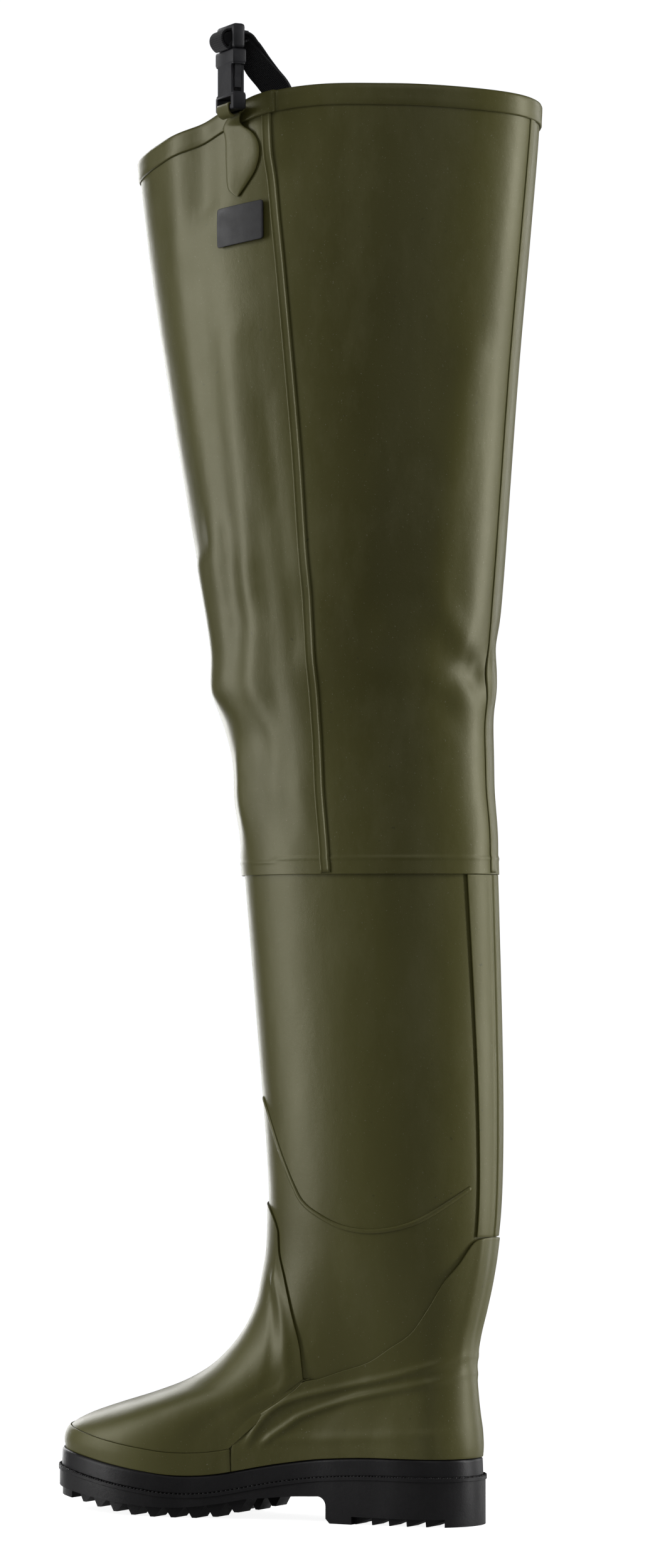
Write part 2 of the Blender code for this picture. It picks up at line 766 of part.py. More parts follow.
def height_on(line, x):
    """Height of a line of (x, z), straight between its points."""
    for low, high in zip(line, line[1:]):
        if low[0] <= x <= high[0]:
            return low[1] + (high[1] - low[1]) * (x - low[0]) / (high[0] - low[0])
    return line[-1][1]


def band(line, width):
    """A strip of constant width along a line of (x, z), as a closed outline."""
    left = []
    right = []
    for i, (x, z) in enumerate(line):
        before = line[max(i - 1, 0)]
        after = line[min(i + 1, len(line) - 1)]
        ahead = Vector((after[0] - before[0], after[1] - before[1])).normalized()
        side = Vector((-ahead.y, ahead.x)) * width / 2
        left.append((x + side.x, z + side.y))
        right.append((x - side.x, z - side.y))
    return left + right[::-1]


def cut_side(target, name, outline, operation, tools, low=-0.2, high=0.2):
    return cut(target, cutter(name, slab(outline, low, high, "Y"), tools), operation)


def guard_end():
    return at_share(1.0) - GUARD_LENGTH


def make_toe_guard(group, tools, finish, boot):
    top = [(x, foxing_top(x) + GUARD_HEIGHT) for x in stations(guard_end(), FRONT, 14)]
    body = overlay("toe_guard", boot, GAP, GAP + GUARD_THICKNESS, finish, group, high=spread(top)[1])
    outline = [(guard_end(), 0.0), (FRONT, 0.0)] + top[::-1]
    return cut_side(body, "toe_guard_outline", outline, "INTERSECT", tools)


def make_heel_counter(group, tools, finish, boot):
    """Heel patch with its ribs; one moulded piece round the back of the boot."""
    end = guard_end() - GAP
    line = foot_line(COUNTER_LINE)
    body = overlay("heel_counter", boot, GAP, GAP + COUNTER_THICKNESS, finish, group, high=spread(line)[1])
    outline = [(p[0], p[1]) for p in line if p[0] < end]
    outline += [(end, line[-1][1]), (end, 0.0), (line[0][0], 0.0)]
    raised = GAP + COUNTER_THICKNESS + RIB_RELIEF
    for name, table in (("upper_rib", UPPER_RIB), ("lower_rib", LOWER_RIB)):
        strip = band(foot_line(table), RIB_WIDTH)
        bottom, top = spread(strip)
        rib = hidden(overlay(name, boot, GAP + COUNTER_THICKNESS / 2, raised, None, tools, bottom, top))
        cut_side(rib, name + "_outline", strip, "INTERSECT", tools)
        cut(body, rib, "UNION")
    return cut_side(body, "heel_counter_outline", outline, "INTERSECT", tools)


def make_vamp(group, tools, finish, boot):
    line = foot_line(VAMP_LINE)
    body = overlay("vamp", boot, GAP, GAP + VAMP_THICKNESS, finish, group, high=spread(line)[1])
    counter = foot_line(COUNTER_LINE, GAP * 3)
    line[0] = (line[0][0], height_on(counter, line[0][0]))
    counter = [p for p in counter if p[0] > line[0][0]]
    xs = stations(guard_end() + 1 * MM, FRONT, 12)
    low = [(x, foxing_top(x) + GUARD_HEIGHT + GAP) for x in xs]
    outline = list(reversed(line)) + counter + low + [(FRONT, line[-1][1])]
    return cut_side(body, "vamp_outline", outline, "INTERSECT", tools)


def make_stay(group, tools, finish, boot):
    low = foot_line(COUNTER_LINE)[0][1] + GAP
    body = overlay("back_stay", boot, GAP, GAP + STAY_THICKNESS, finish, group, low)
    high = BOOT_HEIGHT - HEM_LAP - GAP
    wide = STAY_WIDTH / 2
    narrow = STAY_FOOT_WIDTH / 2
    strip = [(-narrow, low), (narrow, low), (wide, high), (-wide, high)]
    cut(body, cutter("back_stay_outline", slab(strip, -0.2, 0.0, "X"), tools), "INTERSECT")
    groove = STAY_GROOVE / 2
    middle = [(-groove, low - BEYOND), (groove, low - BEYOND),
              (groove, high + BEYOND), (-groove, high + BEYOND)]
    floor = GAP + STAY_THICKNESS * 0.45
    channel = hidden(overlay("back_stay_groove", boot, floor, GAP + 3 * STAY_THICKNESS, None, tools, low))
    cut(channel, cutter("groove_outline", slab(middle, -0.2, 0.0, "X"), tools), "INTERSECT")
    return cut(body, channel, "DIFFERENCE")


def make_piping(group, tools, finish, boot):
    strip = band(shank_line(PIPING_LINE), PIPING_WIDTH)
    bottom, top = spread(strip)
    body = overlay("leg_piping", boot, GAP, GAP + PIPING_RELIEF, finish, group, bottom, top)
    cut_side(body, "leg_piping_outline", strip, "INTERSECT", tools)
    low = foot_line(COUNTER_LINE)[0][1]
    half = STAY_WIDTH / 2 + GAP
    room = [(-half, low), (half, low), (half, BOOT_HEIGHT), (-half, BOOT_HEIGHT)]
    return cut(body, cutter("leg_piping_stay_room", slab(room, -0.2, 0.0, "X"), tools), "DIFFERENCE")


def make_side_seam(group, tools, finish, thigh):
    body = overlay("side_seam", thigh, GAP, GAP + SEAM_RELIEF, finish, group)
    bottom = BOOT_HEIGHT - HEM_LAP
    tall = COLLAR_HEIGHT - bottom
    line = [(p.along * COLLAR_LENGTH, bottom + p.height * tall) for p in SIDE_SEAM_LINE]
    cut_side(body, "side_seam_outline", band(line, SIDE_SEAM_WIDTH), "INTERSECT", tools, 0.0, 0.2)
    return trim_under_binding(body, tools, thigh)


def make_rear_seam(group, tools, finish, thigh):
    body = overlay("rear_seam", thigh, GAP, GAP + SEAM_RELIEF, finish, group)
    half = REAR_SEAM_WIDTH / 2
    strip = [(-half, BOOT_HEIGHT - 2 * HEM_LAP), (half, BOOT_HEIGHT - 2 * HEM_LAP),
             (half, COLLAR_HEIGHT + BEYOND), (-half, COLLAR_HEIGHT + BEYOND)]
    cut(body, cutter("rear_seam_outline", slab(strip, -0.2, 0.0, "X"), tools), "INTERSECT")
    return trim_under_binding(body, tools, thigh)


def down_from_rim(thigh, c, distance):
    """A point of the thigh leg's outside, a given way below the rim."""
    top, below = thigh[-1][c], thigh[-2][c]
    return top + (below - top) * (distance / (top.z - below.z))


def binding_rings(thigh, height):
    """Rings of the binding's section, from its outer lower edge over the rim to the inner one."""
    normals = grid_normals(thigh)[-1]
    out_skin = GAP + BINDING_THICKNESS
    in_skin = THIGH_WALL + GAP + BINDING_THICKNESS
    section = ((out_skin, height, 0.0), (out_skin, 0.0, 0.5 * out_skin), (0.0, 0.0, out_skin),
               (-THIGH_WALL, 0.0, out_skin), (-in_skin, 0.0, 0.5 * out_skin), (-in_skin, height, 0.0),
               (-THIGH_WALL - GAP, height, 0.0), (-THIGH_WALL - GAP, 0.0, GAP),
               (GAP, 0.0, GAP), (GAP, height, 0.0))
    rings = []
    for away, down, up in section:
        rings.append([down_from_rim(thigh, c, down) + n * away + Vector((0, 0, up))
                      for c, n in enumerate(normals)])
    return rings


def make_binding(group, finish, thigh):
    """Band folded over the rim: its section closes on itself and runs round the collar."""
    rings = binding_rings(thigh, BINDING_HEIGHT)
    bm = bmesh.new()
    made = [[bm.verts.new(p) for p in ring] for ring in rings]
    count = len(thigh[0])
    for low, high in zip(made, made[1:] + made[:1]):
        for c in range(count):
            d = (c + 1) % count
            bm.faces.new((low[c], low[d], high[d]))
            bm.faces.new((low[c], high[d], high[c]))
    return piece("collar_binding", bm, finish, group)


def rim_room(name, thigh, inside, outside, tools):
    """A cutter round the rim between two skins, from just below the binding to above the rim."""
    normals = grid_normals(thigh)[-1]
    low = BINDING_HEIGHT + GAP
    high = -2 * BINDING_HEIGHT
    bm = bmesh.new()
    rings = []
    for away, down in ((inside, low), (outside, low), (outside, high), (inside, high)):
        rings.append([bm.verts.new(down_from_rim(thigh, c, down) + n * away) for c, n in enumerate(normals)])
    count = len(normals)
    for ring, following in zip(rings, rings[1:] + rings[:1]):
        for c in range(count):
            d = (c + 1) % count
            bm.faces.new((ring[c], ring[d], following[d], following[c]))
    bmesh.ops.recalc_face_normals(bm, faces=bm.faces)
    return cutter(name, bm, tools)


def trim_under_binding(body, tools, thigh):
    """Cuts a piece of the thigh leg off just below the binding."""
    return cut(body, rim_room(body.name + "_rim_room", thigh, -BEYOND, BEYOND, tools), "DIFFERENCE")


# Strap, buckle and badge

def block(size, centre, edge=0.0):
    """A box with rounded edges."""
    bm = bmesh.new()
    bmesh.ops.create_cube(bm, size=1.0)
    bmesh.ops.scale(bm, vec=size, verts=bm.verts)
    if edge:
        bmesh.ops.bevel(bm, geom=bm.edges[:], offset=edge, segments=2, profile=0.5,
                        affect="EDGES", material=-1)
    bmesh.ops.translate(bm, vec=centre, verts=bm.verts)
    return bm


def placed(bm, frame):
    bmesh.ops.transform(bm, matrix=frame, verts=bm.verts)
    return bm


def rim_place(turn_degrees):
    """Point of the rim's outside at a turn."""
    turn = math.radians(turn_degrees)
    return thigh_point(THIGH[-1], turn)


def buckle_frame():
    """Local axes of the buckle: X along its width to the front, Y out of its face, Z up.

    It hangs outside the collar, where the inner corners of the buckle and the loop clear the binding.
    """
    turned = Matrix.Rotation(-math.radians(BUCKLE_TURN), 4, "Z")
    outwards = grid_outwards(BUCKLE_PLACE)
    corners = [turned @ Vector((BUCKLE_WIDTH / 2, -BUCKLE_DEPTH / 2, 0)),
               turned @ Vector((LOOP_WIDTH / 2, -BUCKLE_DEPTH / 2 - GAP - TAB_THICKNESS, 0))]
    clearance = GAP + BINDING_THICKNESS + GAP
    foot = rim_place(BUCKLE_PLACE) + outwards * (clearance + max(-c.dot(outwards) for c in corners))
    foot.z = rim_place(TAB_TURN).z - BUCKLE_DROP
    return Matrix.Translation(foot) @ turned


def grid_outwards(turn_degrees):
    """Level direction out of the collar at a turn."""
    turn = math.radians(turn_degrees)
    step = 0.05
    ahead = thigh_point(THIGH[-1], turn + step) - thigh_point(THIGH[-1], turn - step)
    return Vector((ahead.y, -ahead.x, 0)).normalized()


def make_female(group, tools, finish):
    frame = buckle_frame()
    size = (BUCKLE_WIDTH, BUCKLE_DEPTH, FEMALE_LENGTH)
    shell = placed(block(size, (0, 0, FEMALE_LENGTH / 2), BUCKLE_EDGE), frame)
    body = piece("buckle_female", shell, finish, group)
    through = 2 * BUCKLE_DEPTH
    slot = block((WEBBING_WIDTH + 2 * MM, through, WEBBING_SLOT), (0, 0, BUCKLE_BAR + WEBBING_SLOT / 2))
    cut(body, cutter("female_slot", placed(slot, frame), tools), "DIFFERENCE")
    middle = WINDOW_FOOT + WINDOW_HEIGHT / 2
    for side in (-1, 1):
        hole = block((2 * WINDOW_DEPTH, through, WINDOW_HEIGHT), (side * BUCKLE_WIDTH / 2, 0, middle))
        cut(body, cutter("female_window", placed(hole, frame), tools), "DIFFERENCE")
    pocket = block((BUCKLE_WIDTH - 5 * MM, BUCKLE_DEPTH - 2 * BUCKLE_SHELL, FEMALE_LENGTH),
                   (0, 0, WINDOW_FOOT - 2 * MM + FEMALE_LENGTH / 2))
    return cut(body, cutter("female_pocket", placed(pocket, frame), tools), "DIFFERENCE")


def make_male(group, tools, finish):
    frame = buckle_frame()
    base = FEMALE_LENGTH + GAP
    size = (BUCKLE_WIDTH, BUCKLE_DEPTH - 1 * MM, MALE_LENGTH)
    shell = placed(block(size, (0, 0, base + MALE_LENGTH / 2), BUCKLE_EDGE), frame)
    body = piece("buckle_male", shell, finish, group)
    tall = MALE_LENGTH - 2 * MALE_BAR
    slot = block((WEBBING_WIDTH + 2 * MM, 2 * BUCKLE_DEPTH, tall), (0, 0, base + MALE_BAR + tall / 2))
    cut(body, cutter("male_slot", placed(slot, frame), tools), "DIFFERENCE")
    reach = FEMALE_LENGTH - WINDOW_FOOT
    root = 3 * MM
    thick = BUCKLE_DEPTH - 2 * BUCKLE_SHELL - 4 * GAP
    arm_place = BUCKLE_WIDTH / 2 - WINDOW_DEPTH - ARM_WIDTH / 2 + 0.3 * MM
    for name, x, width in (("arm_front", arm_place, ARM_WIDTH), ("arm_back", -arm_place, ARM_WIDTH),
                           ("guide", 0.0, GUIDE_WIDTH)):
        arm = block((width, thick, reach + root), (x, 0, base + (root - reach) / 2), 0.5 * MM)
        cut(body, cutter("male_" + name, placed(arm, frame), tools), "UNION")
    return body


def ribbon(points, across, width, thickness):
    """A flat strip along a path; across gives the direction of its width at each point."""
    bm = bmesh.new()
    rings = []
    for i, (p, side) in enumerate(zip(points, across)):
        before = points[max(i - 1, 0)]
        after = points[min(i + 1, len(points) - 1)]
        ahead = (after - before).normalized()
        side = (side - ahead * side.dot(ahead)).normalized()
        up = ahead.cross(side)
        rings.append([bm.verts.new(p + side * a * width / 2 + up * b * thickness / 2)
                      for a, b in ((-1, -1), (1, -1), (1, 1), (-1, 1))])
    for low, high in zip(rings, rings[1:]):
        for k in range(4):
            bm.faces.new((low[k], low[(k + 1) % 4], high[(k + 1) % 4], high[k]))
    bm.faces.new(rings[0][::-1])
    bm.faces.new(rings[-1])
    bmesh.ops.recalc_face_normals(bm, faces=bm.faces)
    return bm


def make_strap(group, tools, finish):
    """Doubled webbing: round the male half's bar, down behind it and inside the collar."""
    frame = buckle_frame()
    width_way = frame.to_3x3() @ Vector((1, 0, 0))
    slot_middle = FEMALE_LENGTH + GAP + MALE_LENGTH / 2
    behind = BUCKLE_DEPTH - 0.5 * MM
    start = frame @ Vector((0, -1.0 * MM, slot_middle))
    inside = inner_wall_point(STRAP_TURN)
    outwards = grid_outwards(STRAP_TURN)
    reach = math.degrees(WEBBING_WIDTH / COLLAR_LENGTH)
    nearest = min((inner_wall_point(STRAP_TURN + reach * k / 6) - inside).dot(outwards)
                  for k in range(-8, 9))
    hang = inside + outwards * (nearest - WEBBING_THICKNESS - 4 * GAP)
    run = hang - start
    points = [
        frame @ Vector((0, 0.5 * MM, slot_middle + GAP)),
        frame @ Vector((-1.0 * MM, -behind, slot_middle + GAP)),
        start + Vector((run.x * 0.48, run.y * 0.62 - 9 * MM, run.z * 0.36)),
        start + Vector((run.x * 0.74, run.y * 0.85 - 4 * MM, run.z * 0.68)),
        hang,
        hang + Vector((-5 * MM, 0, -STRAP_TAIL)),
    ]
    across = [width_way, width_way, Vector((0.75, -0.1, 0.66)), Vector((0.82, 0, 0.57)),
              Vector((0.92, 0, 0.38)), Vector((0.98, 0, 0.2))]
    return piece("strap", ribbon(points, across, WEBBING_WIDTH, 2 * WEBBING_THICKNESS), finish, group)


def inner_wall_point(turn_degrees):
    """Inner face of the binding at the rim."""
    outside = rim_place(turn_degrees)
    return outside - grid_outwards(turn_degrees) * (THIGH_WALL + GAP + BINDING_THICKNESS)


def make_badge(group, tools, finish, thigh):
    """Plate that follows the thigh leg's skin."""
    rim = rim_place(BADGE_TURN)
    low = rim.z - BADGE_DROP - BADGE_HEIGHT / 2
    body = overlay("badge", thigh, GAP, GAP + BADGE_THICKNESS, finish, group,
                   low - BEYOND, low + 2 * BADGE_HEIGHT)
    x = rim.x - FRONT_LEAN * BADGE_DROP
    half = BADGE_WIDTH / 2
    outline = [(x - half, low), (x + half, low - BADGE_LEAN),
               (x + half, low - BADGE_LEAN + BADGE_HEIGHT), (x - half, low + BADGE_HEIGHT)]
    return cut_side(body, "badge_outline", outline, "INTERSECT", tools, 0.0, 0.2)


def leaf_outline(rim, top):
    front = []
    back = []
    for row in LEAF:
        x = rim.x - row.down * TAB_LENGTH * FRONT_LEAN
        z = rim.z - row.down * TAB_LENGTH
        front.append((x + row.front * TAB_WIDTH, z))
        back.append((x - row.back * TAB_WIDTH, z))
    front[0] = (front[0][0], top)
    back[0] = (back[0][0], top)
    return front + back[::-1]


def make_tab(group, tools, finish, thigh):
    """Leaf on the outside: its neck lies over the binding, up to the loop, its blade on the leg."""
    over = GAP + BINDING_THICKNESS + GAP
    rim = rim_place(TAB_TURN)
    body = overlay("strap_tab", thigh, GAP, over + TAB_THICKNESS, finish, group, rim.z - TAB_LENGTH)
    cut(body, rim_room("leaf_binding_room", thigh, -BEYOND, over, tools), "DIFFERENCE")
    top = buckle_frame().translation.z - GAP
    return cut_side(body, "leaf_outline", leaf_outline(rim, top), "INTERSECT", tools, 0.0, 0.2)


def make_loop(group, finish):
    """Fold of the tab round the female half's bar."""
    frame = buckle_frame()
    inner = BUCKLE_DEPTH / 2 + GAP
    outer = inner + TAB_THICKNESS
    under = BUCKLE_BAR + GAP
    top = under + TAB_THICKNESS
    rounding = 0.6 * TAB_THICKNESS
    section = [(-outer, 0.0), (-inner, 0.0), (-inner, under), (inner, under), (inner, 0.0),
               (outer, 0.0), (outer, top - rounding), (outer - rounding, top),
               (-outer + rounding, top), (-outer, top - rounding)]
    bm = slab(section, -LOOP_WIDTH / 2, LOOP_WIDTH / 2, "X")
    return piece("tab_loop", placed(bm, frame), finish, group)


def main():
    empty_scene()
    wader = collection("hip_wader")
    tools = collection("cutters")
    black = material("black_rubber", (0.03, 0.03, 0.035), 0.6)
    olive = material("olive_rubber", (0.09, 0.09, 0.045), 0.42)
    grey = material("insole_fabric", (0.25, 0.24, 0.2), 0.9)
    plastic = material("black_plastic", (0.02, 0.02, 0.022), 0.45)
    webbing = material("black_webbing", (0.015, 0.015, 0.017), 0.85)
    badge_face = material("badge_rubber", (0.05, 0.05, 0.055), 0.5)

    make_outsole(wader, tools, black)
    make_foxing(wader, tools, black)
    boot = boot_grid()
    make_insole(wader, tools, grey, boot)
    piece("upper", skin_wall(boot, offset_grid(boot, -BOOT_WALL)), olive, wader)
    make_toe_guard(wader, tools, olive, boot)
    make_heel_counter(wader, tools, olive, boot)
    make_vamp(wader, tools, olive, boot)
    make_stay(wader, tools, olive, boot)
    make_piping(wader, tools, olive, boot)

    thigh = thigh_grid()
    piece("thigh_leg", skin_wall(thigh, offset_grid(thigh, -THIGH_WALL)), olive, wader)
    make_side_seam(wader, tools, olive, thigh)
    make_rear_seam(wader, tools, olive, thigh)
    make_binding(wader, olive, thigh)
    make_badge(wader, tools, badge_face, thigh)
    make_tab(wader, tools, olive, thigh)
    make_loop(wader, olive)
    make_female(wader, tools, plastic)
    make_male(wader, tools, plastic)
    make_strap(wader, tools, webbing)


main()
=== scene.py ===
# %% [markdown]
# A hip wader is a rubber boot with a long soft leg joined on below the knee. Every visible part
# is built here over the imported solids: the frame gives the places, and this lesson makes the
# smooth skins, the thin patches, the ribs, the seams and the finishes.

# %% Load the solids that everything is fitted to
import math
from collections import namedtuple

import bmesh
import bpy
from mathutils import Matrix, Vector


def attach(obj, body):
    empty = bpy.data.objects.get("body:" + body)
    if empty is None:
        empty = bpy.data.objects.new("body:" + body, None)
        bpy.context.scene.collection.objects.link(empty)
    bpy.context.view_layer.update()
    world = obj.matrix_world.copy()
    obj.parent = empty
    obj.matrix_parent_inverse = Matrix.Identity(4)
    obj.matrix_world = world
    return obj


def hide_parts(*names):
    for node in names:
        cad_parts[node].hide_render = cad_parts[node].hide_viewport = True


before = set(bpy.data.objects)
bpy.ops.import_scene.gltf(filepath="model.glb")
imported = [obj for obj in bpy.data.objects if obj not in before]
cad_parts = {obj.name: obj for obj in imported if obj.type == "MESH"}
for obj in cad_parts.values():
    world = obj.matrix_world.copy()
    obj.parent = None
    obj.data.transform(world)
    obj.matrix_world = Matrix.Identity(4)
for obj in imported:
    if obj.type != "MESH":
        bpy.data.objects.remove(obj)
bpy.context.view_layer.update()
MM = 0.001


def rows_of(kind, rows):
    """A table whose plain tuples become rows of one kind, with named columns."""
    return [kind(*row) for row in rows]


def held(value, low, high):
    return min(max(value, low), high)


def placed(name, data):
    """A new object of the scene that shows the data."""
    made = bpy.data.objects.new(name, data)
    bpy.context.scene.collection.objects.link(made)
    return made


def mesh_of(name, bm):
    mesh = bpy.data.meshes.new(name)
    bm.to_mesh(mesh)
    bm.free()
    return mesh


# %% [markdown]
# The camera looks at the outer side of the boot from slightly behind, from about the height of
# the knee. A long lens far away keeps the leg's outline almost parallel, as the picture has it.

# %% The camera at the picture's angle
YAW = math.radians(28.0)             # how far the camera stands behind the outer side
DISTANCE = 3.7
EYE_HEIGHT = 0.3485
FOCAL = 9176.0                       # focal length in pixels of the 1052 x 2500 picture
PICTURE_HEIGHT = 2500.0
CENTRE = (526.0, 1250.0)
HORIZON = 1560.0                     # row of the picture at the height of the eye
HEEL_COLUMN = 777.0                  # column of the picture where the heel ends
HEEL_RADIUS = 0.037
SENSOR = 36.0

right = Vector((-math.cos(YAW), -math.sin(YAW), 0.0))
level_ahead = Vector((math.sin(YAW), -math.cos(YAW), 0.0))
pitch = math.atan((HORIZON - CENTRE[1]) / FOCAL)
ahead = level_ahead * math.cos(pitch) + Vector((0, 0, 1)) * math.sin(pitch)
upwards = right.cross(ahead)
aside = HEEL_RADIUS - (HEEL_COLUMN - CENTRE[0]) / FOCAL * DISTANCE
camera_data = bpy.data.cameras.new("camera")
camera_data.sensor_width = SENSOR
camera_data.lens = SENSOR * FOCAL / PICTURE_HEIGHT
camera = placed("camera", camera_data)
turned = Matrix((right, upwards, -ahead)).transposed().to_4x4()
place = right * aside - level_ahead * DISTANCE + Vector((0, 0, EYE_HEIGHT))
camera.matrix_world = Matrix.Translation(place) @ turned
bpy.context.scene.camera = camera
print("camera at", tuple(round(v, 3) for v in place))

# %% [markdown]
# Rubber shows its form by its highlights. A tall soft box stands on each side, so that a long
# sheen runs down the leg near both outlines, and a weak one near the camera fills the middle.

# %% Soft boxes, sky and floor
AIM = Vector((0.06, 0.0, 0.45))      # the place on the leg that every lamp looks at


def soft_box(name, azimuth, distance, height, width, tall, power):
    """An area light that looks at the leg; azimuth is measured from +Y towards +X."""
    data = bpy.data.lights.new(name, "AREA")
    data.shape = "RECTANGLE"
    data.size = width
    data.size_y = tall
    data.energy = power
    turn = math.radians(azimuth)
    spot = Vector((math.sin(turn) * distance, math.cos(turn) * distance, height))
    turned = (AIM - spot).to_track_quat("-Z", "Y").to_matrix().to_4x4()
    placed(name, data).matrix_world = Matrix.Translation(spot) @ turned


soft_box("front_box", 62, 2.4, 0.75, 0.7, 2.2, 40)
soft_box("front_rim_box", 128, 2.4, 0.75, 0.5, 2.2, 26)
soft_box("rear_box", -115, 2.2, 0.75, 0.45, 2.2, 50)
soft_box("rear_rim_box", -160, 2.4, 0.75, 0.4, 2.2, 16)
soft_box("top_box", -20, 2.0, 2.6, 2.2, 1.6, 15)
soft_box("eye_box", -30, 3.4, 1.0, 1.6, 1.8, 5)


def lit_and_seen(tree, socket, lit, seen):
    """Sets a socket to one value for the light it gives and to another for what the camera sees."""
    path = tree.nodes.new("ShaderNodeLightPath")
    choice = tree.nodes.new("ShaderNodeMapRange")
    choice.inputs["To Min"].default_value = lit
    choice.inputs["To Max"].default_value = seen
    tree.links.new(path.outputs["Is Camera Ray"], choice.inputs["Value"])
    tree.links.new(choice.outputs["Result"], socket)


world = bpy.data.worlds.new("pale_studio")
world.use_nodes = True
sky = world.node_tree.nodes["Background"]
sky.inputs["Color"].default_value = (0.97, 0.98, 1.0, 1.0)
lit_and_seen(world.node_tree, sky.inputs["Strength"], 0.14, 1.05)
bpy.context.scene.world = world
bpy.context.scene.view_settings.view_transform = "Standard"

floor_bm = bmesh.new()
bmesh.ops.create_circle(floor_bm, cap_ends=True, segments=96, radius=0.55)
floor_mesh = mesh_of("floor", floor_bm)
floor = placed("floor", floor_mesh)
paper = bpy.data.materials.new("pale_paper")
paper.use_nodes = True
paper_shader = paper.node_tree.nodes["Principled BSDF"]
paper_shader.inputs["Base Color"].default_value = (0.45, 0.45, 0.45, 1.0)
paper_shader.inputs["Roughness"].default_value = 0.85
paper_shader.inputs["Emission Color"].default_value = (1.0, 1.0, 1.0, 1.0)
lit_and_seen(paper.node_tree, paper_shader.inputs["Emission Strength"], 0.08, 0.90)
floor_mesh.materials.append(paper)
print("six soft boxes and a pale floor")

# %% [markdown]
# Every finish is a Principled shader with a few noise textures behind its colour, roughness and
# bump. One small helper keeps the node trees short, so that each recipe reads in a few lines.

# %% A helper for finishes
class Finish:
    """A material with a Principled shader whose patterns read Object coordinates."""

    def __init__(self, name):
        self.material = bpy.data.materials.new(name)
        self.material.use_nodes = True
        self.tree = self.material.node_tree
        self.shader = self.tree.nodes["Principled BSDF"]
        self.coordinates = self.tree.nodes.new("ShaderNodeTexCoord")
        self.bump_height = None

    def set(self, **values):
        for name, value in values.items():
            self.shader.inputs[name.replace("_", " ")].default_value = value
        return self

    def noise(self, scale, detail=2.0, roughness=0.5, stretch=(1, 1, 1)):
        """Noise with features about 1 / scale metres wide, drawn out by stretch."""
        mapping = self.tree.nodes.new("ShaderNodeMapping")
        mapping.inputs["Scale"].default_value = stretch
        texture = self.tree.nodes.new("ShaderNodeTexNoise")
        texture.inputs["Scale"].default_value = scale
        texture.inputs["Detail"].default_value = detail
        texture.inputs["Roughness"].default_value = roughness
        self.tree.links.new(self.coordinates.outputs["Object"], mapping.inputs["Vector"])
        self.tree.links.new(mapping.outputs["Vector"], texture.inputs["Vector"])
        return texture.outputs["Fac"]

    def ramp(self, value, *stops):
        """A colour ramp; each stop is a position and a grey value or a colour."""
        node = self.tree.nodes.new("ShaderNodeValToRGB")
        elements = node.color_ramp.elements
        while len(elements) < len(stops):
            elements.new(0.5)
        for element, (position, tone) in zip(elements, stops):
            element.position = position
            colour = tone if isinstance(tone, tuple) else (tone, tone, tone)
            element.color = (*colour, 1.0)
        self.tree.links.new(value, node.inputs["Fac"])
        return node.outputs["Color"]

    def feed(self, socket, value):
        """Gives a socket a number, a colour or another node's output."""
        if isinstance(value, (int, float)):
            socket.default_value = value
        elif isinstance(value, tuple):
            socket.default_value = (*value, 1.0)
        else:
            self.tree.links.new(value, socket)

    def mix(self, amount, first, second):
        node = self.tree.nodes.new("ShaderNodeMix")
        node.data_type = "RGBA"
        for index, value in ((0, amount), (6, first), (7, second)):
            self.feed(node.inputs[index], value)
        return node.outputs[2]

    def math(self, operation, *values):
        node = self.tree.nodes.new("ShaderNodeMath")
        node.operation = operation
        for socket, value in zip(node.inputs, values):
            self.feed(socket, value)
        return node.outputs["Value"]

    def link(self, output, name):
        self.tree.links.new(output, self.shader.inputs[name])
        return self

    def bump(self, value, depth):
        """Adds relief of a depth in metres, on top of the relief that is there."""
        node = self.tree.nodes.new("ShaderNodeBump")
        node.inputs["Distance"].default_value = depth
        node.inputs["Strength"].default_value = 1.0
        self.tree.links.new(value, node.inputs["Height"])
        if self.bump_height:
            self.tree.links.new(self.bump_height, node.inputs["Normal"])
        self.bump_height = node.outputs["Normal"]
        self.tree.links.new(self.bump_height, self.shader.inputs["Normal"])
        return self


print("finish helper ready")

# %% [markdown]
# The olive rubber is satin: dull grains everywhere and a soft gloss over them. Its colour wanders
# a little, powdery bloom greys it in patches, and fine pale rubs and specks lie on it. The sheen
# breaks up in a grain of about a third of a millimetre, which bump gives at the right scale.

# %% Olive rubber
OLIVE = (0.074, 0.070, 0.019)
OLIVE_DARK = (0.054, 0.050, 0.012)
OLIVE_GREY = (0.112, 0.107, 0.048)


def olive_rubber(name, gloss, rubs=1.0):
    finish = Finish(name).set(Specular_IOR_Level=0.36, Coat_Weight=0.02, Coat_Roughness=0.34)
    finish.set(Specular_Tint=(1.0, 0.97, 0.70, 1.0))
    wander = finish.noise(7.0, 3.0, 0.6, (1.0, 1.0, 0.35))
    base = finish.ramp(wander, (0.30, OLIVE_DARK), (0.52, OLIVE), (0.75, (0.084, 0.079, 0.026)))
    bloom = finish.noise(26.0, 6.0, 0.72, (1.0, 1.0, 0.4))
    specks = finish.noise(900.0, 1.0, 0.4)
    dots = finish.noise(240.0, 2.0, 0.5)
    for marks, none, full, strength, tone in ((bloom, 0.48, 0.80, 0.55, OLIVE_GREY),
                                              (specks, 0.735, 0.76, 0.55, (0.17, 0.165, 0.11)),
                                              (dots, 0.74, 0.775, 0.6, (0.035, 0.034, 0.014))):
        base = finish.mix(finish.ramp(marks, (none, 0.0), (full, strength * rubs)), base, tone)
    finish.link(base, "Base Color")
    patches = finish.noise(14.0, 4.0, 0.65)
    finish.link(finish.math("MULTIPLY_ADD", patches, 0.16, gloss - 0.08), "Roughness")
    finish.bump(finish.noise(42.0, 2.0, 0.5, (1.0, 1.0, 0.5)), 0.45 * MM)
    finish.bump(finish.noise(420.0, 2.0, 0.5), 0.05 * MM)
    return finish.bump(finish.noise(2600.0, 2.0, 0.6), 0.045 * MM).material


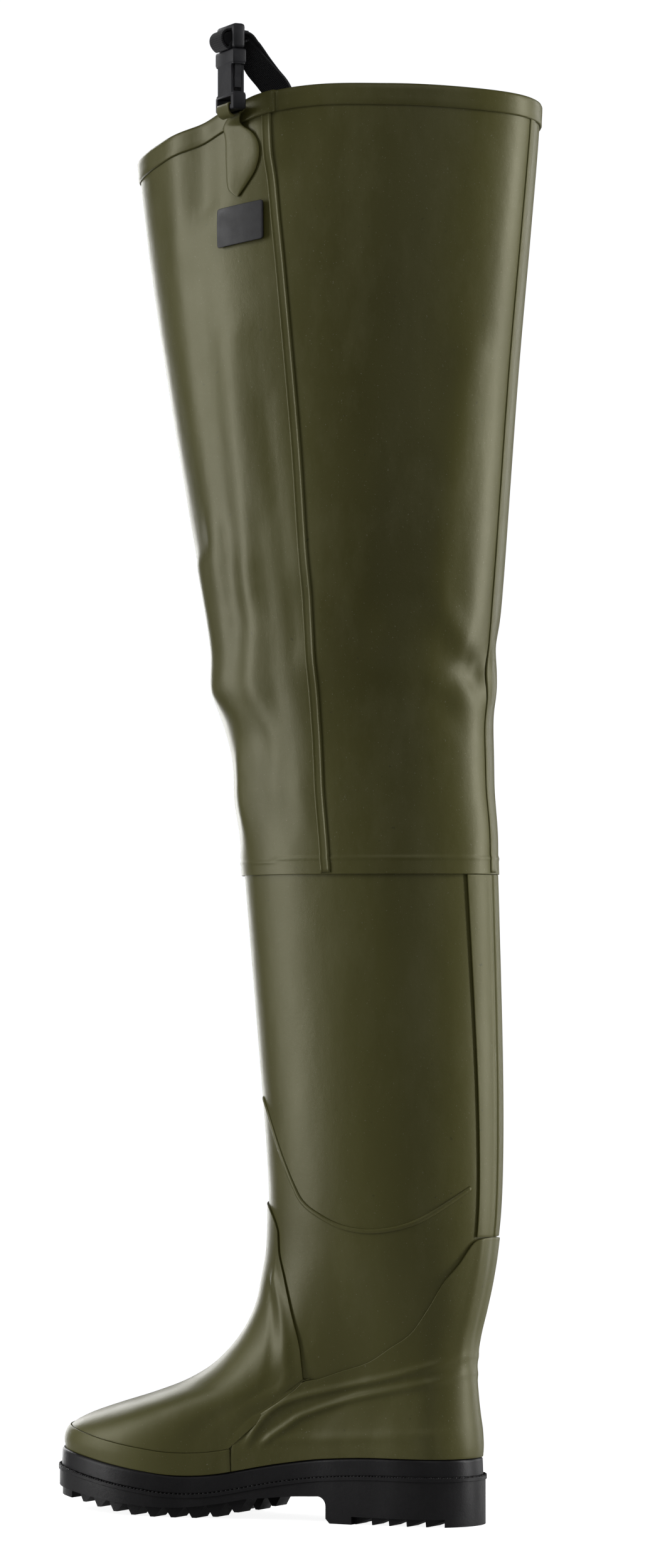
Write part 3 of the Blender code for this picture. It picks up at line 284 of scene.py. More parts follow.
leg_rubber = olive_rubber("leg_rubber", 0.40)
boot_rubber = olive_rubber("boot_rubber", 0.42, 0.8)
patch_rubber = olive_rubber("patch_rubber", 0.45)
print("olive rubbers:", leg_rubber.name, boot_rubber.name, patch_rubber.name)

# %% [markdown]
# The sole is black rubber, matt from the mould and a little polished where it is handled. The
# buckle is moulded plastic with a fine spark grain. The webbing is woven: two crossed waves,
# read along and across the strap, stand for its threads, and so its pattern follows its bends.

# %% Black rubber, plastic, webbing and felt
def black_rubber():
    finish = Finish("sole_rubber").set(Specular_IOR_Level=0.22)
    dust = finish.ramp(finish.noise(60.0, 5.0, 0.7), (0.45, 0.0), (0.85, 0.5))
    finish.link(finish.mix(dust, (0.0075, 0.007, 0.0078), (0.019, 0.018, 0.019)), "Base Color")
    finish.link(finish.ramp(finish.noise(25.0, 4.0, 0.6), (0.3, 0.36), (0.8, 0.56)), "Roughness")
    finish.bump(finish.noise(500.0, 3.0, 0.6), 0.09 * MM)
    return finish.bump(finish.noise(2400.0, 2.0, 0.6), 0.05 * MM).material


def moulded_black(name, specular, tone_scale, tones, gloss_scale, gloss, grain_scale, grain):
    """Nearly black plastic or rubber from a mould, with a fine spark grain."""
    finish = Finish(name).set(Specular_IOR_Level=specular)
    finish.link(finish.ramp(finish.noise(tone_scale, 4.0, 0.6), *tones), "Base Color")
    finish.link(finish.ramp(finish.noise(gloss_scale, 3.0, 0.6), *gloss), "Roughness")
    return finish.bump(finish.noise(grain_scale, 2.0, 0.6), grain).material


def woven_webbing():
    finish = Finish("webbing").set(Specular_IOR_Level=0.25, Sheen_Weight=0.1, Sheen_Roughness=0.5)
    uv = finish.tree.nodes.new("ShaderNodeUVMap")
    waves = []
    for across in ("X", "Y"):
        wave = finish.tree.nodes.new("ShaderNodeTexWave")
        wave.bands_direction = across
        wave.inputs["Scale"].default_value = 1.0
        wave.inputs["Distortion"].default_value = 0.6
        wave.inputs["Detail"].default_value = 1.0
        finish.tree.links.new(uv.outputs["UV"], wave.inputs["Vector"])
        waves.append(wave.outputs["Fac"])
    threads = finish.math("MULTIPLY", waves[0], waves[1])
    tone = finish.ramp(threads, (0.0, (0.004, 0.004, 0.0045)), (0.7, (0.022, 0.022, 0.024)))
    finish.link(tone, "Base Color")
    finish.set(Roughness=0.8)
    return finish.bump(threads, 0.35 * MM).material


def grey_felt():
    finish = Finish("insole_felt").set(Roughness=0.95, Specular_IOR_Level=0.2)
    tone = finish.ramp(finish.noise(300.0, 5.0, 0.7), (0.3, (0.16, 0.155, 0.14)), (0.7, (0.30, 0.29, 0.26)))
    finish.link(tone, "Base Color")
    return finish.bump(finish.noise(1200.0, 4.0, 0.7), 0.3 * MM).material


sole_black = black_rubber()
plastic = moulded_black("buckle_plastic", 0.3,
                        90.0, ((0.3, (0.012, 0.012, 0.014)), (0.8, (0.024, 0.024, 0.027))),
                        160.0, ((0.3, 0.46), (0.8, 0.60)), 1800.0, 0.06 * MM)
webbing = woven_webbing()
felt = grey_felt()
badge_face = moulded_black("badge_rubber", 0.35,
                           140.0, ((0.3, (0.013, 0.013, 0.014)), (0.75, (0.024, 0.024, 0.026))),
                           90.0, ((0.3, 0.42), (0.8, 0.58)), 2200.0, 0.05 * MM)
badge_line = Finish("badge_line").set(Roughness=0.5).set(Base_Color=(0.42, 0.42, 0.41, 1.0)).material
print("black rubber, plastic, webbing, felt and badge")

# %% [markdown]
# The boot is described by level cuts: how far each reaches back and forward, how wide it is and
# how much it keeps of the sole's outline. A smooth curve runs through the cuts, so a skin can
# have as many rings as its finest detail needs.

# %% Sizes and cuts of the boot
SOLE_LENGTH = 310 * MM
BALL_WIDTH = 105 * MM
HEEL_WIDTH = 73 * MM
TOE_SWING = 8 * MM
LIP_HEIGHT = 31 * MM
FOXING_HEIGHT = 11.5 * MM
GAP = 0.3 * MM
ANKLE_HEIGHT = 174 * MM
SHANK_LENGTH = 175 * MM
SHANK_WIDTH = 109 * MM
BOOT_HEIGHT = 427 * MM
BOOT_WALL = 2.4 * MM

OutlineRow = namedtuple("OutlineRow", "along outer inner")
OUTLINE = rows_of(OutlineRow, (
    (0.00, 2.00, 2.00), (0.065, 1.78, 1.78), (0.124, 1.52, 1.51), (0.196, 1.27, 1.24),
    (0.31, 1.08, 0.95), (0.41, 0.95, 0.74), (0.51, 0.90, 0.65), (0.605, 0.99, 0.76), (0.686, 1.16, 0.93),
    (0.768, 1.30, 1.07), (0.85, 1.41, 1.21), (0.915, 1.49, 1.27), (1.00, 1.60, 1.30),
))
SideRow = namedtuple("SideRow", "along lip wall lug")
SOLE_SIDE = rows_of(SideRow, (
    (0.00, 1.00, 0.55, 0.00), (0.20, 1.00, 0.55, 0.00), (0.32, 0.93, 0.54, 0.50),
    (0.41, 0.81, 0.50, 0.44), (0.46, 0.72, 0.42, 0.30), (0.51, 0.62, 0.31, 0.14),
    (0.56, 0.535, 0.22, 0.03), (0.61, 0.495, 0.16, 0.00), (0.66, 0.505, 0.14, 0.00),
    (0.71, 0.56, 0.16, 0.01), (0.76, 0.625, 0.20, 0.05), (0.81, 0.70, 0.25, 0.12),
    (0.86, 0.78, 0.31, 0.20), (0.92, 0.86, 0.38, 0.28), (1.00, 0.94, 0.45, 0.30),
))
FootRow = namedtuple("FootRow", "height back front width flare")
FOOT = rows_of(FootRow, (
    (0.000, 0.012, 0.978, 0.900, 1.00), (0.050, 0.011, 0.979, 0.915, 1.00),
    (0.100, 0.012, 0.963, 0.908, 1.00), (0.150, 0.014, 0.920, 0.880, 0.96),
    (0.205, 0.017, 0.850, 0.845, 0.88), (0.267, 0.020, 0.760, 0.810, 0.78),
    (0.327, 0.022, 0.686, 0.775, 0.67), (0.402, 0.024, 0.624, 0.755, 0.55),
    (0.492, 0.023, 0.578, 0.745, 0.42), (0.597, 0.016, 0.541, 0.750, 0.29),
    (0.716, 0.003, 0.514, 0.785, 0.17), (0.850, -0.010, 0.499, 0.840, 0.07),
))
ShankRow = namedtuple("ShankRow", "height middle length width")
SHANK = rows_of(ShankRow, (
    (0.000, 0.204, 0.898, 0.870), (0.110, 0.192, 0.905, 0.940), (0.270, 0.194, 0.922, 0.984),
    (0.500, 0.210, 0.950, 1.000), (1.000, 0.254, 1.000, 1.000),
))
print("cuts of the boot:", len(FOOT) + len(SHANK))


# %% A smooth curve through a table
def smooth_value(stations, values, at):
    """A smooth curve through a table's column, level beyond its ends."""
    if at <= stations[0]:
        return values[0]
    if at >= stations[-1]:
        return values[-1]
    i = max(k for k in range(len(stations) - 1) if stations[k] <= at)

    def slope(k):
        low = max(k - 1, 0)
        high = min(k + 1, len(stations) - 1)
        return (values[high] - values[low]) / (stations[high] - stations[low])

    step = stations[i + 1] - stations[i]
    t = (at - stations[i]) / step
    start = (2 * t ** 3 - 3 * t ** 2 + 1) * values[i] + (t ** 3 - 2 * t ** 2 + t) * slope(i) * step
    end = (3 * t ** 2 - 2 * t ** 3) * values[i + 1] + (t ** 3 - t ** 2) * slope(i + 1) * step
    return start + end


def table_value(table, key, name, at):
    """A column's smooth value at a place in another column."""
    return smooth_value([getattr(row, key) for row in table], [getattr(row, name) for row in table], at)


def path_values(points, t):
    """Smooth values of every column of a path's points, as t runs from 0 to 1."""
    at = t * (len(points) - 1)
    return [smooth_value(range(len(points)), column, at) for column in zip(*points)]


def ease(low, high, at):
    """Rises smoothly from 0 at low to 1 at high."""
    t = held((at - low) / (high - low), 0.0, 1.0)
    return t * t * (3 - 2 * t)


# %% The outline and side view of the sole
def along(x):
    """Share of the sole's length at x."""
    return (x + HEEL_WIDTH / 2) / SOLE_LENGTH


def at_share(share):
    return share * SOLE_LENGTH - HEEL_WIDTH / 2


def fullness(share, outer_side):
    """Half width of the lip over that of the ball, before the rounding of both ends."""
    heel = HEEL_WIDTH / BALL_WIDTH
    scale = heel + (1 - heel) * ease(0.31, 0.6, share)
    return scale * table_value(OUTLINE, "along", "outer" if outer_side else "inner", share)


def swing(share):
    return -TOE_SWING * max(share, 0.0) ** 2


def outline_point(turn, inset=0.0):
    """A point of the sole's outline, moved in by inset. Turn 0 is the toe, a quarter turn outside."""
    def lip(angle):
        share = (1 + math.cos(angle)) / 2
        half = BALL_WIDTH / 2 * fullness(share, math.sin(angle) >= 0)
        return Vector((at_share(share), math.sin(angle) * half + swing(share), 0.0))

    ahead_of_it = lip(turn + 0.01) - lip(turn - 0.01)
    return lip(turn) - Vector((ahead_of_it.y, -ahead_of_it.x, 0.0)).normalized() * inset


def side_height(x, name):
    return LIP_HEIGHT * table_value(SOLE_SIDE, "along", name, along(x))


def foxing_top(x):
    return side_height(x, "lip") + FOXING_HEIGHT


def feather(x):
    return foxing_top(x) + GAP


# %% The boot's surface at any height and turn
Cut = namedtuple("Cut", "height back front half flare")
FEATHER = feather(0.0)


def boot_cuts():
    cuts = []
    for row in FOOT:
        height = FEATHER + row.height * (ANKLE_HEIGHT - FEATHER)
        half = row.width * BALL_WIDTH / 2
        cuts.append(Cut(height, at_share(row.back), at_share(row.front), half, row.flare))
    for row in SHANK:
        middle = row.middle * SHANK_LENGTH
        reach = row.length * SHANK_LENGTH / 2
        height = ANKLE_HEIGHT + row.height * (BOOT_HEIGHT - ANKLE_HEIGHT)
        cuts.append(Cut(height, middle - reach, middle + reach, row.width * SHANK_WIDTH / 2, 0.0))
    return cuts


CUTS = boot_cuts()
cut_memory = {}


def cut_at(level):
    """The level cut at any height between the feather edge and the top of the boot."""
    key = round(level, 6)
    if key not in cut_memory:
        heights = [cut.height for cut in CUTS]
        values = [smooth_value(heights, [cut[i] for cut in CUTS], level) for i in range(1, 5)]
        cut_memory[key] = Cut(level, *values)
    return cut_memory[key]


def boot_point(level, turn):
    cut = cut_at(level)
    share = (1 + math.cos(turn)) / 2
    x = cut.back + (cut.front - cut.back) * share
    full = 1 + cut.flare * (fullness(share, math.sin(turn) >= 0) - 1)
    rise = min((level - FEATHER) / (ANKLE_HEIGHT - FEATHER), 1.0)
    y = math.sin(turn) * cut.half * full + swing(along(x)) * (1 - rise)
    dip = (feather(x) - FEATHER) * (1 - max(rise, 0.0)) ** 8
    return Vector((x, y, level + dip))


print("ankle reaches from", round(boot_point(ANKLE_HEIGHT, math.pi).x, 4),
      "to", round(boot_point(ANKLE_HEIGHT, 0.0).x, 4))

# %% [markdown]
# The thigh leg is a wide tube from the lap over the boot up to a slanting collar. Where it meets
# the boot it takes the boot's own cut plus its own thickness, so the lap lies close all round.

# %% Sizes and surface of the thigh leg
HEM_LAP = 12 * MM
THIGH_WALL = 1.4 * MM
COLLAR_HEIGHT = 917 * MM
COLLAR_LENGTH = 284 * MM
COLLAR_WIDTH = 153 * MM

ThighRow = namedtuple("ThighRow", "height middle length width")
THIGH = rows_of(ThighRow, (
    (0.000, 0.1600, 0.632, 0.737), (0.024, 0.1615, 0.632, 0.737), (0.082, 0.1687, 0.636, 0.758),
    (0.155, 0.1720, 0.635, 0.785), (0.206, 0.1850, 0.658, 0.810), (0.250, 0.1930, 0.689, 0.832),
    (0.310, 0.1905, 0.696, 0.856), (0.412, 0.1990, 0.743, 0.895), (0.496, 0.2075, 0.783, 0.921),
    (0.660, 0.2212, 0.857, 0.967), (0.830, 0.2310, 0.936, 0.993), (0.950, 0.2350, 0.985, 1.000),
    (1.000, 0.2365, 1.000, 1.000),
))
RimRow = namedtuple("RimRow", "turn drop")
RIM = rows_of(RimRow, (
    (0, 0.120), (30, 0.108), (60, 0.067), (75, 0.032), (95, 0.001), (120, 0.004), (150, 0.016),
    (180, 0.026), (225, 0.045), (270, 0.060), (315, 0.090), (360, 0.120),
))
HEM = BOOT_HEIGHT - HEM_LAP


def rim_height(turn):
    return COLLAR_HEIGHT - table_value(RIM, "turn", "drop", math.degrees(turn) % 360) * COLLAR_LENGTH


def thigh_base(share, turn):
    """The thigh leg's surface before its folds; share runs from the hem to the rim."""
    z = HEM + share * (rim_height(turn) - HEM)
    clear = cut_at(min(z, BOOT_HEIGHT))
    middle = table_value(THIGH, "height", "middle", share) * COLLAR_LENGTH
    reach = table_value(THIGH, "height", "length", share) * COLLAR_LENGTH / 2
    half = table_value(THIGH, "height", "width", share) * COLLAR_WIDTH / 2
    lap = 1 - ease(0.03, 0.12, share)
    skin = THIGH_WALL + GAP * 1.3
    middle += lap * ((clear.front + clear.back) / 2 - middle)
    reach += lap * ((clear.front - clear.back) / 2 + skin - reach)
    half += lap * (clear.half + skin - half)
    return middle, reach, half, z


# %% [markdown]
# Soft rubber hangs in long shallow folds. Each is listed: a line from one place to
# another on the leg, how wide it is, and how deep in millimetres. A positive depth is a ridge
# that catches the light, and a negative one is a trough. Widths are in degrees round the leg.

# %% Folds listed one by one
FoldRow = namedtuple("FoldRow", "turn height end_turn end_height across depth")
THIGH_FOLDS = rows_of(FoldRow, (
    # two long ridges down the front of the outer side, and the troughs between them
    (48, 0.86, 49, 0.40, 7.0, 1.0), (50, 0.46, 46, 0.27, 6.0, 1.7), (58, 0.80, 58, 0.34, 7.5, -1.2),
    (69, 0.70, 65, 0.38, 6.5, 1.3), (64, 0.40, 62, 0.24, 6.0, 1.3), (80, 0.60, 84, 0.30, 3.5, -0.8),
    (73, 0.45, 74, 0.24, 5.0, -0.6), (36, 0.42, 35, 0.26, 10.0, 4.2), (26, 0.200, 58, 0.185, 10.0, -1.6),
    (60, 0.22, 59, 0.03, 10.0, -1.3), (38, 0.15, 37, 0.02, 7.0, 1.4), (75, 0.22, 71, 0.05, 6.0, -0.9),
    # the soft roll above the knee behind the seam
    (94, 0.36, 112, 0.32, 8.0, -1.0), (96, 0.275, 116, 0.26, 10.0, 1.1),
    (98, 0.235, 124, 0.225, 10.0, -0.7),
    # long diagonal sheen down the back of the outer side
    (152, 0.66, 141, 0.38, 9.0, 1.5), (132, 0.52, 124, 0.36, 10.0, -0.9),
    # the dent at the back of the knee and the roll over it
    (146, 0.335, 158, 0.300, 7.0, 1.5), (148, 0.275, 170, 0.255, 6.0, -1.0),
    (160, 0.225, 188, 0.235, 7.0, 1.6), (138, 0.235, 156, 0.205, 8.0, -1.0),
    (196, 0.30, 215, 0.28, 9.0, -1.8),
    # the inner side, plain long folds of the same kind
    (240, 0.60, 246, 0.30, 9.0, 1.4), (262, 0.52, 258, 0.24, 8.0, -1.3),
    (290, 0.70, 296, 0.34, 9.0, 1.4), (318, 0.22, 290, 0.20, 10.0, -2.0),
    (322, 0.42, 328, 0.27, 10.0, 3.0),
    # waves of the collar where the strap pulls at it
    (86, 1.02, 86, 0.93, 7.0, 3.0), (64, 1.02, 62, 0.90, 7.0, -3.0), (52, 1.00, 50, 0.86, 6.0, 1.0),
    # the deep dent at the back of the knee
    (163, 0.262, 166, 0.258, 13.0, -4.4),
))
FOLD_HEIGHT = 0.028                  # how softly a fold ends, as a share of the leg's height


def fold_depth(folds, turn, height, ends=FOLD_HEIGHT):
    """All the folds' relief at a place, as a smooth bell across each fold's line."""
    degrees = math.degrees(turn) % 360
    total = 0.0
    for row in folds:
        rise = row.end_height - row.height
        if abs(rise) < 0.08:
            t = held((degrees - row.turn) / ((row.end_turn - row.turn) or 1.0), 0.0, 1.0)
        else:
            t = held((height - row.height) / rise, 0.0, 1.0)
        beside = (degrees - (row.turn + t * (row.end_turn - row.turn)) + 180) % 360 - 180
        above = height - (row.height + t * rise)
        total += row.depth * MM * math.exp(-(beside / row.across) ** 2 - (above / ends) ** 2)
    return total


HEM_BAND = 10.5 * MM                 # lower edge of the leg up to the ridge of its lap
NOTCH_TURN = math.radians(61.0)      # where the two ends of the lap meet


def hem_relief(z, turn):
    """A low ridge over the lap, which sits a little lower in front of the notch."""
    in_front = math.cos(turn) > math.cos(NOTCH_TURN)
    band = HEM_BAND - (2.2 * MM if in_front else 0.0)
    ridge = 0.55 * MM * math.exp(-((z - HEM - band) / (1.1 * MM)) ** 2)
    return ridge + 0.25 * MM * (1 - ease(HEM + band - 1 * MM, HEM + band, z))


def thigh_point(share, turn, lift=0.0):
    middle, reach, half, z = thigh_base(share, turn)
    loose = ease(0.02, 0.10, share)
    push = lift + loose * fold_depth(THIGH_FOLDS, turn, share) + hem_relief(z, turn)
    return Vector((middle + (reach + push) * math.cos(turn), (half + push) * math.sin(turn), z))


print("folds placed:", len(THIGH_FOLDS))

# %% [markdown]
# A skin starts as a flat bmesh grid. Its columns are turned round the leg and its rows are set up
# the leg by a place function, and the seam is merged. Solidify then gives it its real wall, and
# Bevel rounds the rims, which keeps every edge a real edge that the light can catch.

# %% Building a skin from a grid
TURN_STEP = 0.004                    # a slope is measured over this many radians to each side
LEVEL_STEP = 0.4 * MM                # and over this height above and below a place on the boot
SHARE_STEP = 0.001                   # on the leg, the same as a share of its height


def grid_skin(rows, columns, spot, closed=False):
    """A bmesh grid whose point (r, c) is moved to spot(r / rows, c / columns)."""
    bm = bmesh.new()
    bmesh.ops.create_grid(bm, x_segments=columns, y_segments=rows, size=1.0)
    bm.verts.ensure_lookup_table()
    for vertex in bm.verts:
        u = (vertex.co.x + 1) / 2
        v = (vertex.co.y + 1) / 2
        vertex.co = spot(v, u)
    if closed:
        bmesh.ops.remove_doubles(bm, verts=bm.verts, dist=0.01 * MM)
    return bm


def finished(name, bm, finish, nodes=(), wall=None, edge=None):
    """Makes the bmesh a smooth piece with a wall and rounded edges, which rides on the boot."""
    mesh = mesh_of(name, bm)
    mesh.materials.append(finish)
    made = placed(name, mesh)
    if wall:
        solid = made.modifiers.new("wall", "SOLIDIFY")
        solid.thickness = wall
        solid.offset = -1.0
        solid.use_even_offset = False
    if edge:
        rounded = made.modifiers.new("edge", "BEVEL")
        rounded.width = edge
        rounded.segments = 2
        rounded.limit_method = "ANGLE"
        rounded.angle_limit = math.radians(50)
    mesh.shade_smooth()
    mesh.set_sharp_from_angle(angle=math.radians(60))
    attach(made, "root")
    if nodes:
        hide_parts(*nodes)
    print(name, "faces:", len(mesh.polygons))


def surface_normal(point, level, turn):
    """Outward direction of a surface given by a point function."""
    round_it = point(level, turn + TURN_STEP) - point(level, turn - TURN_STEP)
    on_boot = point in (boot_point, boot_skin)
    step = LEVEL_STEP if on_boot else SHARE_STEP
    up_it = point(level + step, turn) - point(level - step, turn)
    return round_it.cross(up_it).normalized()


# %% [markdown]
# The boot's own wall is smooth but for a soft crease on each side: a ridge with a trough in front
# of it, which runs from the front of the ankle down and back, where the instep bends.

# %% Boot skin
BOOT_FOLDS = rows_of(FoldRow, (
    (44, 0.1560, 82, 0.0880, 4.0, 0.8), (40, 0.1500, 76, 0.0850, 4.0, -0.5),
    (316, 0.1560, 278, 0.0880, 4.0, 0.7), (320, 0.1500, 284, 0.0850, 4.0, -0.5),
))
BOOT_FOLD_END = 0.0055
FIRST_LEVEL = FEATHER + 0.1 * MM


def boot_skin(level, turn, lift=0.0):
    """The boot's outside with its creases, moved outwards by lift."""
    p = boot_point(level, turn)
    near_folds = 60 * MM < level < 190 * MM
    push = fold_depth(BOOT_FOLDS, turn, level, BOOT_FOLD_END) if near_folds else 0.0
    push += lift
    if push:
        p = p + surface_normal(boot_point, level, turn) * push
    return p


def boot_level(share):
    """Rings stand closer at the foot, where a level cut moves fast over the toes."""
    low = ANKLE_HEIGHT - FEATHER
    if share < 0.5:
        return FEATHER + low * (0.55 * (share / 0.5) + 0.45 * (share / 0.5) ** 2)
    return ANKLE_HEIGHT + (BOOT_HEIGHT - ANKLE_HEIGHT) * (share - 0.5) / 0.5


upper_bm = grid_skin(120, 150, lambda v, u: boot_skin(boot_level(v), 2 * math.pi * u), closed=True)
finished("boot", upper_bm, boot_rubber, ("upper",), BOOT_WALL)

# %% Thigh leg skin
def leg_share(v):
    """Rings stand closer over the lap, where its ridge is narrow."""
    return 0.036 * v / 0.12 if v < 0.12 else 0.036 + 0.964 * (v - 0.12) / 0.88


leg_bm = grid_skin(210, 160, lambda v, u: thigh_point(leg_share(v), 2 * math.pi * u), closed=True)
finished("thigh", leg_bm, leg_rubber, ("thigh_leg",), THIGH_WALL, 0.35 * MM)

# %% [markdown]
# The thin patches of a rubber boot are cut from sheet and laid over it, so each shows as a step
# with a soft edge. A patch is a grid between two lines. Where a line is known in side view, the
# height at which it crosses the boot is searched for at each turn.

# %% Lines in side view
LinePoint = namedtuple("LinePoint", "along height")
COUNTER_LINE = rows_of(LinePoint, (
    (-0.100, 1.056), (-0.030, 1.056), (-0.017, 1.052), (-0.008, 1.038), (0.014, 0.964), (0.043, 0.891),
    (0.074, 0.799), (0.112, 0.707), (0.156, 0.652), (0.205, 0.597), (0.268, 0.560), (0.318, 0.530),
    (0.355, 0.515), (0.410, 0.447), (0.463, 0.406), (0.495, 0.340), (0.521, 0.263),
))
VAMP_LINE = rows_of(LinePoint, (
    (0.352, 0.490), (0.354, 0.570), (0.359, 0.655), (0.379, 0.785), (0.397, 0.900), (0.414, 0.992),
    (0.418, 1.077), (0.453, 1.155), (0.500, 1.180), (0.560, 1.190),
))
GUARD_HEIGHT = 15 * MM
GUARD_THICKNESS = 1.7 * MM
GUARD_LENGTH = 149 * MM
GUARD_END = at_share(1.0) - GUARD_LENGTH
COUNTER_THICKNESS = 1.3 * MM
VAMP_THICKNESS = 1.0 * MM


def counter_height(x):
    return ANKLE_HEIGHT * table_value(COUNTER_LINE, "along", "height", along(x))


def vamp_x(z):
    return at_share(table_value(VAMP_LINE, "height", "along", z / ANKLE_HEIGHT))


def crossing(turn_of, test, low=FEATHER, high=230 * MM):
    """The lowest height at which test(point) turns positive, going up a column of the boot."""
    steps = 60
    before = low
    for k in range(1, steps + 1):
        level = low + (high - low) * k / steps
        if test(boot_point(level, turn_of(level))) > 0:
            for halving in range(12):
                middle = (before + level) / 2
                if test(boot_point(middle, turn_of(middle))) > 0:
                    level = middle
                else:
                    before = middle
            return (before + level) / 2
        before = level
    return high


def turn_at(x, level, inner=False):
    """The turn at which the boot's cut at a level reaches x, on the outer or the inner side."""
    cut = cut_at(level)
    share = held((x - cut.back) / (cut.front - cut.back), 0.0, 1.0)
    turn = math.acos(2 * share - 1)
    return 2 * math.pi - turn if inner else turn


print("heel patch is", round(counter_height(-0.04), 4), "high at the back")

# %% [markdown]
# The heel patch is moulded: soft ribs start together at its front corner and fan out to the back
# of the heel, and a shallow upright channel runs down its back. Each rib is a line in side view
# and a bell-shaped relief across it, so the ribs melt into the patch as the moulded ones do.

# %% Heel patch with ribs
RibRow = namedtuple("RibRow", "points width depth")
RIBS = (
    RibRow(rows_of(LinePoint, (
        (-0.03, 0.660), (0.069, 0.589), (0.166, 0.540), (0.263, 0.503), (0.360, 0.462), (0.408, 0.430),
        (0.440, 0.385), (0.484, 0.285),
    )), 2.6 * MM, 1.9 * MM),
    RibRow(rows_of(LinePoint, (
        (-0.03, 0.590), (0.069, 0.527), (0.166, 0.490), (0.263, 0.449), (0.360, 0.391), (0.400, 0.345),
        (0.450, 0.285),
    )), 2.6 * MM, 1.8 * MM),
    RibRow(rows_of(LinePoint, (
        (0.02, 0.345), (0.069, 0.335), (0.166, 0.325), (0.300, 0.310), (0.400, 0.300), (0.430, 0.290),
    )), 3.6 * MM, 0.9 * MM),
)


def rib_relief(p):
    total = 0.0
    share = along(p.x)
    for rib in RIBS:
        z = ANKLE_HEIGHT * table_value(rib.points, "along", "height", share)
        before = ANKLE_HEIGHT * table_value(rib.points, "along", "height", share - 0.01)
        slope = (z - before) / (0.01 * SOLE_LENGTH)
        away = (p.z - z) / math.hypot(1.0, slope)
        fade = 1 - ease(rib.points[-1].along - 0.02, rib.points[-1].along + 0.015, share)
        fade *= ease(-35 * MM, -8 * MM, p.x)
        total += rib.depth * fade * math.exp(-(away / rib.width) ** 2)
    return total


def heel_channel(p):
    """Two low upright swells beside the middle of the heel's back, from the back strip down."""
    if p.x > 0.0:
        return 0.0
    swells = math.exp(-((abs(p.y) - 11 * MM) / (3.5 * MM)) ** 2)
    channel = math.exp(-(p.y / (4 * MM)) ** 2)
    return 0.7 * MM * ease(85 * MM, 125 * MM, p.z) * (swells - channel)


END_X = GUARD_END - GAP
END_LEVEL = counter_height(END_X)
HEEL_COLUMNS = 230


def heel_turn(u, level):
    """Column u of the patch; its front edge stays upright up to where the top line meets it."""
    edge = turn_at(END_X, min(level, END_LEVEL))
    return edge + (2 * math.pi - 2 * edge) * u


heel_tops = [crossing(lambda level: heel_turn(k / HEEL_COLUMNS, level), lambda p: p.z - counter_height(p.x))
             for k in range(HEEL_COLUMNS + 1)]


def heel_spot(v, u):
    top = heel_tops[round(u * HEEL_COLUMNS)]
    level = FIRST_LEVEL + (top - FIRST_LEVEL) * v
    turn = heel_turn(u, level)
    p = boot_point(level, turn)
    return boot_skin(level, turn, GAP + COUNTER_THICKNESS + rib_relief(p) + heel_channel(p))


heel_bm = grid_skin(84, HEEL_COLUMNS, heel_spot)
finished("heel_patch", heel_bm, patch_rubber, ("heel_counter",), COUNTER_THICKNESS, 0.3 * MM)

# %% [markdown]
# The vamp patch covers the forefoot and the instep. It ends behind in a raised line that runs up
# in front of the ankle, and below in the heel patch and the band round the toe.

# %% Vamp patch
def guard_top(x):
    return foxing_top(x) + GUARD_HEIGHT


def vamp_floor(p):
    """Lower edge of the vamp: the toe band in front, the heel patch behind it."""
    if p.x > GUARD_END:
        return guard_top(p.x) + GAP
    return counter_height(p.x) + 2 * GAP


VAMP_TURNS = 96
vamp_limit = turn_at(vamp_x(0.49 * ANKLE_HEIGHT), 0.49 * ANKLE_HEIGHT) - math.radians(1.5)
vamp_lows = []
vamp_highs = []
for k in range(2 * VAMP_TURNS + 1):
    turn = vamp_limit * (k - VAMP_TURNS) / VAMP_TURNS
    column = lambda level, turn=turn: turn
    low_level = crossing(column, lambda p: p.z - vamp_floor(p))
    vamp_lows.append(low_level)
    high_level = crossing(column, lambda p: vamp_x(p.z) - p.x, low_level + 0.5 * MM)
    vamp_highs.append(max(high_level, low_level + 0.6 * MM))


def vamp_spot(v, u):
    place_on = u * 2 * VAMP_TURNS
    k = min(int(place_on), 2 * VAMP_TURNS - 1)
    rest = place_on - k
    low_level = vamp_lows[k] + (vamp_lows[k + 1] - vamp_lows[k]) * rest
    high_level = vamp_highs[k] + (vamp_highs[k + 1] - vamp_highs[k]) * rest
    turn = vamp_limit * (2 * u - 1)
    return boot_skin(low_level + (high_level - low_level) * v, turn, GAP + VAMP_THICKNESS)


vamp_bm = grid_skin(120, 192, vamp_spot)
finished("vamp_patch", vamp_bm, boot_rubber, ("vamp",), VAMP_THICKNESS, 0.25 * MM)

# %% Band round the toe
front_turn = turn_at(END_X, FEATHER + 0.008)


def band_spot(v, u):
    angle = front_turn * (2 * u - 1)
    top = crossing(lambda level: angle, lambda p: p.z - guard_top(p.x))
    level = FIRST_LEVEL + (top - FIRST_LEVEL) * v
    edge_turn = turn_at(GUARD_END, level)
    return boot_skin(level, edge_turn * (2 * u - 1), GAP + GUARD_THICKNESS)


band_bm = grid_skin(14, 160, band_spot)
finished("toe_band", band_bm, patch_rubber, ("toe_guard",), GUARD_THICKNESS, 0.35 * MM)

# %% [markdown]
# Up the back of the shank runs a wide strip with a deep groove down its middle, so that it reads
# as two flat bands. It is modelled as one skin whose relief drops in the groove.

# %% Back strip
STAY_WIDTH = 42 * MM
STAY_FOOT_WIDTH = 30 * MM
STAY_THICKNESS = 1.1 * MM
STAY_GROOVE = 2.4 * MM
STAY_FOOT = counter_height(-0.045) + GAP
STAY_TOP = HEM - GAP


def turn_behind(y, level):
    """The turn near the back at which the cut at a level has a given y."""
    half = cut_at(level).half
    return math.pi - math.asin(held(y / half, -1.0, 1.0))


